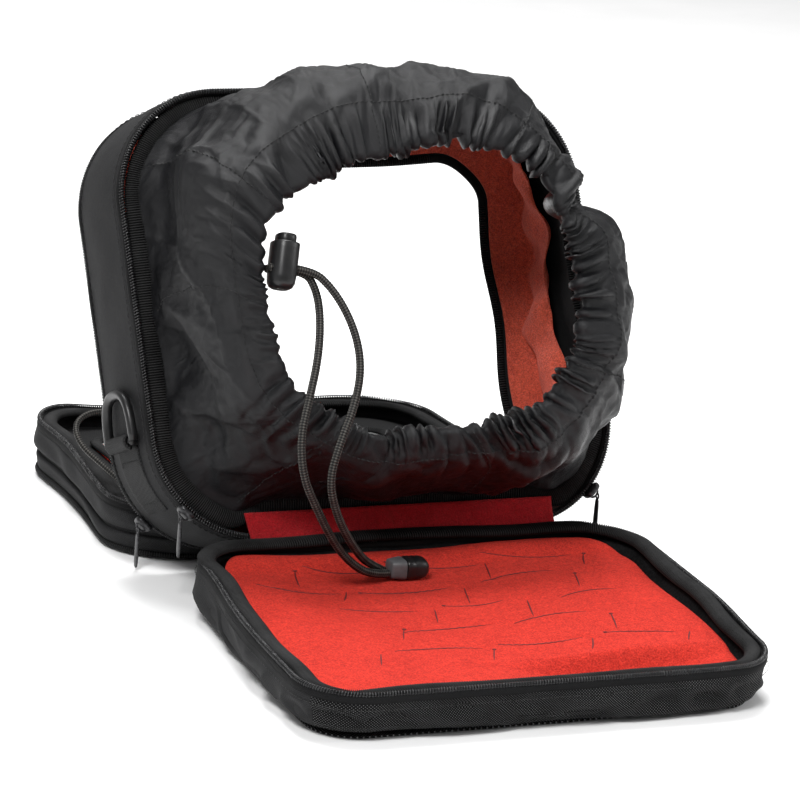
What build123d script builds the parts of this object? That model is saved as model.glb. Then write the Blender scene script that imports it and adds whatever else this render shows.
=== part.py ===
from build123d import *
from math import atan2, cos, degrees, radians, sin, sqrt, tan, pi
import os

# Soft darkroom case: a padded gusset band that stands open between two zip-on
# covers, with a gathered drawstring hood on its front.  Millimetres, +Z up, the
# floor at Z = 0, +X to the user's right, -Y towards the user.

# ---- driving dimensions ----------------------------------------------------
BAND_WIDTH = 240.0
BAND_HEIGHT = 214.0
BAND_DEPTH = 56.0
BAND_CORNER = 52.0
BAND_RECLINE = 22.0          # degrees the open band leans back
BAND_FRONT_Z = 30.0          # height of the band's lower front edge
SIDE_LEAN = -0.055           # soft walls lean this much sideways per mm

FRONT_WIDTH = 238.0
FRONT_LENGTH = 198.0
FRONT_CORNER = 42.0
FRONT_FAR_CORNER = 29.0
FRONT_RIM_Z = 28.0
FRONT_RIM_SLOPE = 1.6        # degrees the rim drops towards the free end
FRONT_GAP = 3.0              # hinge-side wall in front of the band edge

REAR_WIDTH = 228.0
REAR_LENGTH = 188.0
REAR_CORNER = 40.0
REAR_RIM_Z = 26.0
REAR_HINGE_Y = 62.0

WALL = 2.0                   # laminated nylon wall
TAPE_WIDTH = 2.9             # zip tape, seen as a rim
TAPE_DEPTH = 2.8
TEETH_WIDTH = 2.4            # coil zip half
TEETH_DEPTH = 1.2
BINDING_INNER = 11.5         # grosgrain binding runs to this inset
BINDING_THICK = 1.4
FLANGE_INSET = 25.0          # rear flange narrows the opening by this much

HOOD_REACH = 60.0            # hood stands this far in front of the band
HOOD_BULGE = 38.0            # reach of its fullest section
HOOD_SKIN = 1.6
HEM_DEPTH = 7.0

CORD_DIA = 4.0
RING_BAR = 4.4               # D-ring moulding thickness
RING_INNER = 27.0            # takes 25 mm webbing
RING_DROP = 23.0
WEB_WIDTH = 25.0

# Centre of the whole object's box, so that it stands on the origin.
SHIFT_X = 2.8
SHIFT_Y = -25.4

# ---- frames ----------------------------------------------------------------
LEAN_COS = cos(radians(BAND_RECLINE))
LEAN_SIN = sin(radians(BAND_RECLINE))
SLOPE_COS = cos(radians(FRONT_RIM_SLOPE))
SLOPE_SIN = sin(radians(FRONT_RIM_SLOPE))

# band: x across, y up the band, z towards the user
BAND = Plane(
    origin=(SHIFT_X, SHIFT_Y, BAND_FRONT_Z),
    x_dir=(1, 0, 0),
    z_dir=(0, -LEAN_COS, LEAN_SIN),
)
# front cover: x to the user's left, y away from the hinge, z = 0 at the rim
FRONT = Plane(
    origin=(SHIFT_X, SHIFT_Y - FRONT_GAP, FRONT_RIM_Z),
    x_dir=(-1, 0, 0),
    z_dir=(0, -SLOPE_SIN, SLOPE_COS),
)
# rear cover: x across, y away from the hinge, z up from the floor
REAR = Plane(
    origin=(SHIFT_X, SHIFT_Y + REAR_HINGE_Y, 0),
    x_dir=(1, 0, 0),
    z_dir=(0, 0, 1),
)


class Outline:
    """A rounded four-sided outline that may lean sideways and be lower at its left."""

    def __init__(
        self, width, length, corner, lean=0.0, centre=0.0, start=0.0, drop=0.0, far_corner=None
    ):
        self.width = width
        self.length = length
        self.corner = corner
        self.lean = lean
        self.centre = centre
        self.start = start
        self.drop = drop
        self.far_corner = far_corner or corner

    def face(self, inset=0.0):
        half = self.width / 2 - inset * sqrt(1 + self.lean**2)
        low = inset
        high = self.length - inset
        left_high = high - self.drop
        corners = [
            (self.centre - half + self.lean * low, self.start + low),
            (self.centre + half + self.lean * low, self.start + low),
            (self.centre + half + self.lean * high, self.start + high),
            (self.centre - half + self.lean * left_high, self.start + left_high),
        ]
        flat = make_face(Polyline(*corners, close=True))
        flat = fillet(flat.vertices().sort_by(Axis.Y)[:2], self.corner - inset)
        return fillet(flat.vertices().sort_by(Axis.Y)[-2:], self.far_corner - inset)

    def slab(self, plane, inset, low, high):
        return plane * Pos(0, 0, low) * extrude(self.face(inset), high - low)

    def ring(self, plane, outer, inner, low, high):
        flat = self.face(outer) - self.face(inner)
        return plane * Pos(0, 0, low) * extrude(flat, high - low)


band = Outline(BAND_WIDTH, BAND_HEIGHT, BAND_CORNER, SIDE_LEAN)
front = Outline(
    FRONT_WIDTH, FRONT_LENGTH, FRONT_CORNER, -SIDE_LEAN, far_corner=FRONT_FAR_CORNER
)
rear = Outline(REAR_WIDTH, REAR_LENGTH, REAR_CORNER)
hood_full = Outline(221.0, 195.0, 76.0, SIDE_LEAN * 0.4, 4.0, 21.0)
hood_rim = Outline(165.0, 150.0, 62.0, SIDE_LEAN * 0.7, -4.0, 39.0, drop=14.0)

parts = {}


def box_between(low, high):
    size = [b - a for a, b in zip(low, high)]
    centre = [(a + b) / 2 for a, b in zip(low, high)]
    return Pos(*centre) * Box(*size)


def band_point(x, up, out):
    """World point of a place given across, up and out in front of the band."""
    return BAND.from_local_coords(Vector(x, up, out))


# ---- the band --------------------------------------------------------------
FRONT_TAPE_BACK = -TAPE_DEPTH - TEETH_DEPTH
REAR_TAPE_FRONT = -BAND_DEPTH - FRONT_TAPE_BACK


def make_band():
    rear_tape_back = REAR_TAPE_FRONT - TAPE_DEPTH
    parts["band_shell"] = band.ring(BAND, 0, WALL, REAR_TAPE_FRONT, FRONT_TAPE_BACK)
    parts["band_lining"] = band.ring(
        BAND, WALL + 0.3, WALL + 1.4, REAR_TAPE_FRONT + 0.3, FRONT_TAPE_BACK - 0.3
    )
    parts["band_front_binding"] = band.ring(
        BAND, TAPE_WIDTH + 0.3, BINDING_INNER, -TEETH_DEPTH - BINDING_THICK, -TEETH_DEPTH
    )
    parts["rear_flange"] = band.ring(
        BAND, TAPE_WIDTH + 0.3, FLANGE_INSET, rear_tape_back - 1.4, rear_tape_back
    )
    parts["rear_flange_binding"] = band.ring(
        BAND, FLANGE_INSET, FLANGE_INSET + 4.0, rear_tape_back - 2.0, rear_tape_back + 0.6
    )
    parts["band_front_zip_tape"] = band.ring(BAND, 0, TAPE_WIDTH, FRONT_TAPE_BACK, -TEETH_DEPTH)
    parts["band_front_zip_coil"] = band.ring(
        BAND, 0.3, 0.3 + TEETH_WIDTH, -TEETH_DEPTH, TEETH_DEPTH
    )
    parts["band_rear_zip_tape"] = band.ring(
        BAND, 0, TAPE_WIDTH, rear_tape_back, REAR_TAPE_FRONT
    )
    parts["band_rear_zip_coil"] = band.ring(
        BAND, 0.3, 0.3 + TEETH_WIDTH, rear_tape_back - 2 * TEETH_DEPTH, rear_tape_back
    )


# ---- D-rings on their webbing tabs -----------------------------------------
TAB_LOW = 18.0
TAB_HIGH = 49.0
TAB_THICK = 1.7
TAB_OUT = (-BAND_DEPTH + WEB_WIDTH) / 2      # front edge of the centred webbing
RING_UP = 50.5                               # height of the ring's bar
RING_STAND = 4.2                             # bar axis outside the wall


def make_d_ring(side, word):
    middle = -BAND_DEPTH / 2
    strip = band.ring(BAND, -TAB_THICK - 0.1, -0.1, TAB_OUT - WEB_WIDTH, TAB_OUT)
    window = BAND * box_between(
        (min(side * 60, side * 140), TAB_LOW, -BAND_DEPTH),
        (max(side * 60, side * 140), TAB_HIGH, 0),
    )
    bar_x = side * (BAND_WIDTH / 2 + RING_STAND) + SIDE_LEAN * RING_UP
    bar = BAND * Pos(bar_x, RING_UP, middle)
    loop_outer = RING_BAR / 2 + 0.25 + 1.3
    loop = Cylinder(loop_outer, WEB_WIDTH) - Cylinder(RING_BAR / 2 + 0.25, WEB_WIDTH + 2)
    parts["web_tab_" + word] = (strip & window) + (bar * loop)

    # the ring stands up along the wall: a straight bar, two legs and a round bow
    half = RING_INNER / 2 + RING_BAR / 2
    straight = RING_DROP - half * 0.55
    path = FilletPolyline(
        (0, 0, -half),
        (0, straight, -half),
        (0, RING_DROP, -half * 0.45),
        (0, RING_DROP, half * 0.45),
        (0, straight, half),
        (0, 0, half),
        radius=4.0,
    )
    section = Plane(origin=(0, 0, -half), z_dir=(0, 1, 0)) * Circle(RING_BAR / 2)
    bow = sweep(section, path=path)
    straight_bar = Cylinder(RING_BAR / 2, 2 * half + RING_BAR)
    tilt = Rot(0, 0, degrees(atan2(-SIDE_LEAN, 1)))
    parts["d_ring_" + word] = bar * tilt * (bow + straight_bar)


# ---- zip sliders and pulls at the lower corners ------------------------------
SLIDER_LENGTH = 9.0
SLIDER_THICK = 3.0
PULL_LENGTH = 19.0


def make_slider(side, end, word):
    """A slider clasps the chain's lower end; its pull hangs from a small loop."""
    centre_x = side * (BAND_WIDTH / 2 - BAND_CORNER) + SIDE_LEAN * BAND_CORNER
    turn = 225 if side < 0 else 315
    mouth = 0.0 if end == "front" else -BAND_DEPTH
    reach = BAND_CORNER + 0.2 + SLIDER_THICK / 2
    where = BAND * Pos(centre_x, BAND_CORNER, mouth) * Rot(0, 0, turn)
    body = Pos(reach, 0, 0) * Box(SLIDER_THICK, SLIDER_LENGTH, 8.0)
    body = fillet(body.edges().filter_by(Axis.X), 1.6)
    parts["zip_slider_" + word] = where * body

    # the pull is a slim tapered tab with an eye, hanging straight down
    eye = where * Pos(reach + SLIDER_THICK / 2 + 2.4, 0, 0)
    pivot = Vector(*eye.position)
    tab = make_face(
        Polyline(
            (-1.6, 1.6),
            (1.6, 1.6),
            (2.1, -PULL_LENGTH * 0.8),
            (1.2, -PULL_LENGTH),
            (-1.2, -PULL_LENGTH),
            (-2.1, -PULL_LENGTH * 0.8),
            close=True,
        )
    )
    tab = tab - Circle(0.8)
    face = Plane(origin=pivot, x_dir=(0, 1, 0), z_dir=(1, 0, 0))
    pull = face * Pos(0, 0, -0.7) * extrude(tab, 1.4)
    parts["zip_pull_" + word] = pull
    print("pull pivot", word, [round(v, 2) for v in pivot])


# ---- hood --------------------------------------------------------------------
def hood_solid(inset, overrun):
    base = Plane.XY.offset(-TEETH_DEPTH - BINDING_THICK - overrun) * band.face(
        BINDING_INNER + 1.6 + inset
    )
    full = Plane.XY.offset(HOOD_BULGE) * hood_full.face(inset)
    rim = Plane.XY.offset(HOOD_REACH - 0.2 + overrun) * hood_rim.face(inset)
    return loft([base, full, rim], ruled=True)


def make_hood():
    parts["hood_shell"] = BAND * (hood_solid(0, 0) - hood_solid(HOOD_SKIN, 0.6))
    hem = hood_rim.ring(BAND, -2.2, 4.4, HOOD_REACH, HOOD_REACH + HEM_DEPTH)
    groove = hood_rim.ring(BAND, -1.0, 3.2, HOOD_REACH + 2.5, HOOD_REACH + HEM_DEPTH + 1)
    parts["hood_hem"] = hem - groove
    path = (Plane.XY.offset(HOOD_REACH + 4.8) * hood_rim.face(1.1)).face().outer_wire()
    start = path @ 0.1
    along = path % 0.1
    cord = sweep(Plane(origin=start, z_dir=along) * Circle(CORD_DIA / 2 - 0.1), path=path)
    parts["hood_drawcord"] = BAND * cord


# ---- hinge strips --------------------------------------------------------------
def make_hinge_strips():
    half = 80.0
    parts["front_hinge_strip"] = BAND * box_between((-half, -3.0, 2.6), (half, 11.0, 3.8))
    low = SHIFT_Y + REAR_HINGE_Y
    parts["rear_hinge_strip"] = box_between(
        (SHIFT_X - half, low - 7.0, 4.5), (SHIFT_X + half, low - 2.6, 5.7)
    )


# ---- cord lock, strands and cord end ---------------------------------------------
LOCK_X = -76.7
LOCK_UP = 121.7
LOCK_OUT = 65.0
LOCK_LENGTH = 22.0           # barrel; the plunger stands 4 mm above it
CORD_LEVEL = -2.5            # height of the cords in the barrel
PLUNGER_TRAVEL = 3.0


def lock_place():
    return BAND * Pos(LOCK_X, LOCK_UP, LOCK_OUT) * Rot(-90, 0, 0)


def stadium(width, depth, corner, low, high):
    flat = RectangleRounded(width, depth, corner)
    return Pos(0, 0, low) * extrude(flat, high - low)


def make_cord_lock():
    """In its own frame the barrel stands along Z, with the cords along X."""
    place = lock_place()
    low = -LOCK_LENGTH / 2 - 2.0
    top = low + LOCK_LENGTH
    slot = Pos(0, 0, CORD_LEVEL) * Box(30, 9.6, 5.6)
    barrel = stadium(13.0, 15.5, 6.2, low, top)
    barrel = barrel - stadium(9.4, 12.0, 4.4, low + 1.8, top + 1) - slot
    plunger = stadium(9.0, 11.6, 4.2, CORD_LEVEL - 4.8, top + 4.0)
    window_low = CORD_LEVEL - 2.8
    window_high = CORD_LEVEL + 2.8 + PLUNGER_TRAVEL
    window = Pos(0, 0, (window_low + window_high) / 2) * Box(
        30, 9.6, window_high - window_low
    )
    plunger = plunger - window
    spring = stadium(8.0, 10.6, 3.6, low + 2.0, CORD_LEVEL - 5.0)
    spring = spring - stadium(6.4, 9.0, 3.0, low, CORD_LEVEL)
    parts["cord_lock_barrel"] = place * barrel
    parts["cord_lock_plunger"] = place * plunger
    parts["cord_lock_spring"] = place * spring


# Each strand: out of the hem, through the lock, over the hood's lower lip and
# down to the cord end on the front cover's pad.
STRAND_A = [
    (-84.8, -13.7, 164.1),
    (-65.5, -13.9, 163.5),
    (-61.0, -20.0, 154.0),
    (-62.5, -29.5, 142.5),
    (-67.5, -41.0, 128.0),
    (-74.5, -50.0, 112.0),
    (-80.5, -56.5, 96.0),
    (-79.5, -60.0, 78.0),
    (-70.0, -57.5, 61.0),
    (-60.0, -53.0, 45.5),
    (-48.5, -48.5, 32.5),
    (-35.5, -45.0, 24.2),
    (-24.7, -41.0, 23.2),
]
STRAND_B = [
    (-84.8, -17.5, 165.7),
    (-64.5, -17.7, 165.2),
    (-54.0, -25.0, 155.0),
    (-48.0, -36.0, 140.0),
    (-47.5, -45.5, 124.5),
    (-53.0, -53.0, 108.5),
    (-62.0, -59.5, 93.0),
    (-67.5, -62.5, 76.5),
    (-62.0, -60.0, 60.5),
    (-53.0, -55.0, 46.5),
    (-42.5, -48.0, 34.5),
    (-33.0, -39.5, 27.5),
    (-24.9, -36.6, 23.2),
]
END_X = -23.4
END_Y = -38.8
END_Z = 24.6
CAP_LENGTH = 7.4
PLUG_LENGTH = 11.8
END_WIDTH = 12.0
END_THICK = 10.0


def make_cord(name, route, diameter):
    """A tube along straight runs joined by tangent arcs."""
    points = [Vector(x + SHIFT_X, y + SHIFT_Y, z) for x, y, z in route]
    radii = []
    for before, here, after in zip(points, points[1:], points[2:]):
        turn = (here - before).get_angle(after - here)
        run = min((here - before).length, (after - here).length)
        radii.append(0.45 * run / tan(radians(turn / 2)))
    path = FilletPolyline(*points, radius=radii)
    section = Plane(origin=points[0], z_dir=points[1] - points[0]) * Circle(diameter / 2)
    tube = sweep(section, path=path)
    parts[name] = tube
    expected = pi * diameter**2 / 4 * path.length
    print(
        name,
        "length", round(path.length, 1),
        "volume", round(tube.volume), "of", round(expected),
        "radii", [round(r, 1) for r in radii],
    )


def make_cord_end():
    """A two-part clamp: a tapered cap where the cords enter and a rounded body."""
    cap = loft(
        [
            Plane.XY * RectangleRounded(END_WIDTH * 0.72, END_THICK * 0.8, 1.6),
            Plane.XY.offset(CAP_LENGTH) * RectangleRounded(END_WIDTH, END_THICK, 2.2),
        ]
    )
    body = Pos(0, 0, CAP_LENGTH + 0.1) * extrude(
        RectangleRounded(END_WIDTH, END_THICK, 2.2), PLUG_LENGTH
    )
    body = fillet(body.faces().sort_by(Axis.Z)[-1].edges(), 2.0)
    along = Plane(
        origin=(END_X + SHIFT_X, END_Y + SHIFT_Y, END_Z), x_dir=(0, 1, 0), z_dir=(1, 0, 0)
    )
    parts["cord_end_cap"] = along * cap
    parts["cord_end_body"] = along * body


# ---- front cover -----------------------------------------------------------------
BIG = 400.0


def above_floor(solid, height):
    """Keep only what lies above a height."""
    return solid & box_between((-BIG, -BIG, height), (BIG, BIG, BIG))


def make_front_cover():
    deep = -FRONT_RIM_Z - 8.0
    top = -TAPE_DEPTH - TEETH_DEPTH
    outer = above_floor(front.slab(FRONT, 0, deep, top), 0)
    inner = above_floor(front.slab(FRONT, WALL, deep, top + 1), WALL)
    parts["front_cover_shell"] = outer - inner
    foam = front.slab(FRONT, WALL + 1.2, deep, -17.2)
    parts["front_cover_foam"] = above_floor(foam, WALL + 0.2)
    parts["front_cover_pad"] = front.slab(FRONT, BINDING_INNER + 0.6, -17.0, -8.0)
    parts["front_cover_binding"] = front.ring(
        FRONT, TAPE_WIDTH + 0.3, BINDING_INNER, -TEETH_DEPTH - BINDING_THICK, -TEETH_DEPTH
    )
    parts["front_cover_zip_tape"] = front.ring(FRONT, 0, TAPE_WIDTH, top, -TEETH_DEPTH)
    parts["front_cover_zip_coil"] = front.ring(
        FRONT, 0.3, 0.3 + TEETH_WIDTH, -TEETH_DEPTH, 0
    )


# ---- rear cover --------------------------------------------------------------------
POCKET_Z = 15.0
WINDOW_LOW = 40.0            # clear window, measured from the hinge side
WINDOW_HIGH = 150.0
WINDOW_HALF = 84.0


def make_rear_cover():
    top = REAR_RIM_Z - TAPE_DEPTH - TEETH_DEPTH
    outer = rear.slab(REAR, 0, 0, top)
    parts["rear_cover_shell"] = outer - rear.slab(REAR, WALL, WALL, top + 1)
    parts["rear_cover_piping"] = rear.ring(REAR, -1.8, 0, 1.0, 3.6)
    parts["rear_cover_foam"] = rear.slab(REAR, WALL + 1.2, WALL + 0.2, 10.0)
    parts["rear_cover_lining"] = rear.slab(REAR, WALL + 1.2, 10.2, 12.0)
    parts["rear_cover_binding"] = rear.ring(
        REAR, TAPE_WIDTH + 0.3, BINDING_INNER,
        REAR_RIM_Z - TEETH_DEPTH - BINDING_THICK, REAR_RIM_Z - TEETH_DEPTH
    )
    parts["rear_cover_zip_tape"] = rear.ring(
        REAR, 0, TAPE_WIDTH, top, REAR_RIM_Z - TEETH_DEPTH
    )
    parts["rear_cover_zip_coil"] = rear.ring(
        REAR, 0.3, 0.3 + TEETH_WIDTH, REAR_RIM_Z - TEETH_DEPTH, REAR_RIM_Z
    )
    window = Outline(2 * WINDOW_HALF, WINDOW_HIGH - WINDOW_LOW, 12.0, 0, 0, WINDOW_LOW)
    pocket = rear.slab(REAR, WALL + 4.0, POCKET_Z, POCKET_Z + 1.6)
    parts["rear_pocket"] = pocket - window.slab(REAR, 4.0, POCKET_Z - 1, POCKET_Z + 3)
    parts["rear_window"] = window.slab(REAR, 0.5, POCKET_Z + 1.8, POCKET_Z + 2.4)
    parts["rear_window_binding"] = window.ring(REAR, -3.0, 5.0, POCKET_Z + 2.6, POCKET_Z + 4.0)


# The elastic loop stands up at the rear cover's left side and lies across it.
ELASTIC_DIA = 3.0
ELASTIC_ROUTE = [
    (-93.0, 87.0, 18.0),
    (-101.0, 95.0, 28.0),
    (-111.0, 105.0, 37.0),
    (-120.0, 116.0, 45.0),
    (-120.0, 127.0, 53.0),
    (-110.0, 131.0, 58.0),
    (-94.0, 132.0, 56.0),
    (-76.0, 134.0, 48.0),
    (-59.0, 139.0, 37.0),
    (-43.0, 146.0, 27.0),
    (-26.0, 153.0, 20.4),
    (-8.0, 158.0, 19.2),
]


def make_elastic():
    make_cord("elastic_loop", ELASTIC_ROUTE, ELASTIC_DIA)


# ---- hinge axes ------------------------------------------------------------------------
def pole(before, after, angle):
    """Axis, seen along X, that turns one point into another by an angle."""
    step_y = after[0] - before[0]
    step_z = after[1] - before[1]
    half = 2 * tan(radians(angle / 2))
    y = (before[0] + after[0]) / 2 - step_z / half
    z = (before[1] + after[1]) / 2 + step_y / half
    return y, z


def closed_corner(up, out):
    point = band_point(0, up, out)
    return point.Y, point.Z


CLOSED_GAP = 0.6
FRONT_ANGLE = 90.0 + FRONT_RIM_SLOPE + BAND_RECLINE
REAR_ANGLE = 90.0 - BAND_RECLINE
FRONT_START = (BAND_HEIGHT - FRONT_LENGTH) / 2
REAR_START = (BAND_HEIGHT - REAR_LENGTH) / 2


def print_hinges():
    front_rest = (SHIFT_Y - FRONT_GAP, FRONT_RIM_Z)
    front_shut = closed_corner(FRONT_START, TEETH_DEPTH + CLOSED_GAP)
    rear_rest = (SHIFT_Y + REAR_HINGE_Y, REAR_RIM_Z)
    rear_shut = closed_corner(REAR_START, -BAND_DEPTH - TEETH_DEPTH - CLOSED_GAP)
    print("front hinge", pole(front_rest, front_shut, -FRONT_ANGLE), FRONT_ANGLE)
    print("rear hinge", pole(rear_rest, rear_shut, REAR_ANGLE), REAR_ANGLE)


make_band()
for side, word in ((-1, "left"), (1, "right")):
    make_d_ring(side, word)
    make_slider(side, "front", "front_" + word)
    make_slider(side, "rear", "rear_" + word)
make_hood()
make_hinge_strips()
make_cord_lock()
make_cord("cord_strand_a", STRAND_A, CORD_DIA)
make_cord("cord_strand_b", STRAND_B, CORD_DIA)
make_cord_end()
make_front_cover()
make_rear_cover()
make_elastic()
print_hinges()

os.makedirs("parts", exist_ok=True)
for name, solid in parts.items():
    export_step(solid, "parts/" + name + ".step")
limits = Compound(children=[solid for solid in parts.values()]).bounding_box()
print("nodes", len(parts), "box", limits.min, limits.max)
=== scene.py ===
import random
from math import acos, atan2, cos, pi, radians, sin, sqrt, tan

import bmesh
import bpy
import numpy as np
from mathutils import Matrix, Vector


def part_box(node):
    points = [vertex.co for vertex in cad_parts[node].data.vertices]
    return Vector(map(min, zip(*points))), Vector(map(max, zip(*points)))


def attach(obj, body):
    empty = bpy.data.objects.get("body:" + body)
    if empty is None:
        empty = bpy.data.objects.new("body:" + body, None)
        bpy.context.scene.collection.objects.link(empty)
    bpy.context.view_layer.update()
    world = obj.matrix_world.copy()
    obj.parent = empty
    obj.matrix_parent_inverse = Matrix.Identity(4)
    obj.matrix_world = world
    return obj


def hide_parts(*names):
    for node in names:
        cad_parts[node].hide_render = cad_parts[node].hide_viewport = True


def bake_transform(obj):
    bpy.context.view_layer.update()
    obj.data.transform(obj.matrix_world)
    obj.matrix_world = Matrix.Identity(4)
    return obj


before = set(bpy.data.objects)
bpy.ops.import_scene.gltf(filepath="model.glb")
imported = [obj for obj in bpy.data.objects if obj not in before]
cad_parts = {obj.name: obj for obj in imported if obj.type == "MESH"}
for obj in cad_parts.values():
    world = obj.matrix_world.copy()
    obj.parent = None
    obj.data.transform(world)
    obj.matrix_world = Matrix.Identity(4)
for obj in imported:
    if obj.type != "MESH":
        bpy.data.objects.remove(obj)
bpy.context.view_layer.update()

# ---- frames ----
# Sizes below are in millimetres in each part's own frame; MM turns them into metres.
MM = 0.001


def box(node):
    """The low and high corners of a CAD node, in metres."""
    return [Vector(v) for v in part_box(node)]


strip_low, strip_high = box("front_hinge_strip")
rear_strip_low = box("rear_hinge_strip")[0]
# the middle of the band's lower front edge, on the floor
SHIFT_X = (strip_low.x + strip_high.x) / 2
SHIFT_Y = rear_strip_low.y - 55 * MM

RECLINE = radians(22.0)  # how far the band leans back
RIM_SLOPE = radians(1.6)  # how far the open front cover falls away from its hinge
SIDE_LEAN = -0.055  # sideways lean of the band's and front cover's sides
FRONT_RIM = 28.0  # height of the front cover's rim at its hinge
BAND_WIDTH = 240.0
BAND_LIFT = 30.0  # height of the band's lower front edge
STRIP_WIDTH = 160.0  # of both hinge strips
WEBBING_WIDTH = 25.0
FLOOR_INSET = 8.0  # from a cover's outline to its flat outer face
RING_HEIGHT = 50.5  # up the band's wall, to the D-ring's bar
MID_DEPTH = -28.0  # the middle of the band's depth
REAR_START = 62.0  # from the band's lower front edge back to the rear cover


def place(x, y, z):
    """World metres from millimetres measured from the band's lower front edge."""
    x, y, z = np.broadcast_arrays(x, y, z)
    return np.stack([x * MM + SHIFT_X, y * MM + SHIFT_Y, z * MM], axis=-1)


def on_band(x, up, out):
    """Across, up the leaning band, and out in front of it."""
    y = up * sin(RECLINE) - out * cos(RECLINE)
    z = BAND_LIFT + up * cos(RECLINE) + out * sin(RECLINE)
    return place(x, y, z)


def on_front(x, away, up):
    """Across, away from the hinge, and above the front cover's rim. It is drawn in at its
    left near the hinge and at its far right corner."""
    x, away = np.asarray(x, float), np.asarray(away, float)
    near_left = smooth(-x, 55, 115) * np.exp(-(((away - 25) / 55) ** 2))
    far_right = smooth(x, 55, 112) * smooth(away, 95, 190)
    x = x + 6.5 * near_left - 7.0 * far_right
    away = away - 3.0 * far_right
    up = up + 2.5 * near_left * smooth(up, -24, -4)
    y = -3.0 - away * cos(RIM_SLOPE) - up * sin(RIM_SLOPE)
    z = FRONT_RIM - away * sin(RIM_SLOPE) + up * cos(RIM_SLOPE)
    return place(x, y, z)


def on_rear(x, away, up):
    """Across, away from the hinge, and above the floor. Its far left is drawn in and
    stands a little higher."""
    x, away = np.asarray(x, float), np.asarray(away, float)
    left = smooth(-x, 50, 112) * smooth(away, 20, 130)
    return place(x + 9 * left, REAR_START + away, up * (1 + 0.14 * left))


def point(frame_of, x, y, z):
    """The world place of one point in a part's own frame."""
    return Vector(frame_of(float(x), float(y), float(z)))


def direction(frame_of, x, y, z):
    """The world direction of a step in a part's own frame."""
    return (point(frame_of, x, y, z) - point(frame_of, 0, 0, 0)).normalized()


# ---- outlines ----
class Outline:
    """A rounded four-sided outline that may lean sideways and be lower at its left,
    walked by arc length."""

    def __init__(self, width, length, corner, lean=0.0, centre=0.0, start=0.0, drop=0.0):
        half = width / 2
        left = length - drop
        self.corners = [
            (centre + half, start),
            (centre + half + lean * length, start + length),
            (centre - half + lean * left, start + left),
            (centre - half, start),
        ]
        self.radius = corner
        self.begin = (centre, start)
        self.pieces = self.measure()
        self.length = sum(p[-1] for p in self.pieces)

    def measure(self):
        """Straight and round stretches, anticlockwise from the middle of the lower side."""
        stretches = []
        here = Vector(self.begin)
        count = len(self.corners)
        for i, corner in enumerate(self.corners):
            corner = Vector(corner)
            before = Vector(self.corners[i - 1])
            after = Vector(self.corners[(i + 1) % count])
            inward = (corner - before).normalized()
            outward = (after - corner).normalized()
            turn = acos(max(-1, min(1, inward.dot(outward))))
            back = self.radius * tan(turn / 2)
            straight_end = corner - inward * back
            stretches.append(("line", here, inward, (straight_end - here).length))
            side = Vector((-inward.y, inward.x))
            centre = straight_end + side * self.radius
            first = atan2(-side.y, -side.x)
            stretches.append(("arc", centre, first, self.radius * turn))
            here = corner + outward * back
        last = Vector(self.begin) - here
        stretches.append(("line", here, last.normalized(), last.length))
        return stretches

    def walk(self, count, closed=True):
        """Points, outward normals and shares of the way round."""
        shares = np.linspace(0.0, 1.0, count, endpoint=not closed)
        found = [self.at(s * self.length) for s in shares]
        points = np.array([f[0] for f in found])
        normals = np.array([f[1] for f in found])
        return points, normals, shares

    def at(self, distance):
        """The place and outward normal a distance along it."""
        distance = distance % self.length
        for kind, a, b, size in self.pieces:
            if distance <= size:
                break
            distance -= size
        if kind == "line":
            spot = a + b * distance
            return (spot.x, spot.y), (b.y, -b.x)
        angle = b + distance / self.radius
        normal = (cos(angle), sin(angle))
        return (a.x + self.radius * normal[0], a.y + self.radius * normal[1]), normal

    def share_near(self, x, y):
        """How far round the outline a place lies, from 0 to 1."""
        points, _, shares = self.walk(720)
        gaps = (points[:, 0] - x) ** 2 + (points[:, 1] - y) ** 2
        return shares[int(np.argmin(gaps))]


def inset_xy(points, normals, inset):
    """Places inside an outline, for a grid of insets with a row for each point."""
    return points[:, 0:1] - normals[:, 0:1] * inset, points[:, 1:2] - normals[:, 1:2] * inset


band = Outline(width=BAND_WIDTH, length=214, corner=52, lean=SIDE_LEAN)
front = Outline(width=238, length=198, corner=29, lean=SIDE_LEAN)
rear = Outline(width=228, length=188, corner=40)
hood_full = Outline(width=221, length=195, corner=76, lean=SIDE_LEAN * 0.4, centre=4, start=21)
hood_rim = Outline(
    width=165, length=150, corner=62, lean=SIDE_LEAN * 0.7, centre=-4, start=39, drop=20
)


def lower_side(x, up):
    """One along the band's lower side, where the hinge strip covers its edge."""
    return (1 - smooth(up, 1, 14)) * (1 - smooth(np.abs(x), 66, 92))


# ---- smooth random shapes ----
def ripple(t, seed, low, high):
    """A periodic wavy line of t (0 to 1), about -1 to 1, from low to high waves."""
    rng = random.Random(seed)
    total = np.zeros_like(np.asarray(t, float))
    count = high - low + 1
    for k in range(low, high + 1):
        total = total + rng.uniform(0.5, 1.0) * np.sin(2 * pi * (k * t + rng.random()))
    return total / sqrt(count)


def ripple2(t, v, seed, low, high, across):
    """A periodic wavy surface of t and v; across is the most waves along v."""
    rng = random.Random(seed)
    total = 0.0
    terms = 9
    for _ in range(terms):
        k = rng.randint(low, high)
        m = rng.uniform(-across, across)
        total = total + rng.uniform(0.5, 1.0) * np.sin(2 * pi * (k * t + m * v + rng.random()))
    return total / sqrt(terms)


def bump_at(t, centre, width):
    """A round bump on the closed line t."""
    gap = np.abs((t - centre + 0.5) % 1.0 - 0.5)
    return np.exp(-((gap / width) ** 2))


def smooth(x, low, high):
    """Eases from 0 at low to 1 at high."""
    t = np.clip((x - low) / (high - low), 0, 1)
    return t * t * (3 - 2 * t)


# ---- meshes ----
def new_object(name, mesh):
    made = bpy.data.objects.new(name, mesh)
    bpy.context.scene.collection.objects.link(made)
    return made


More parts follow.
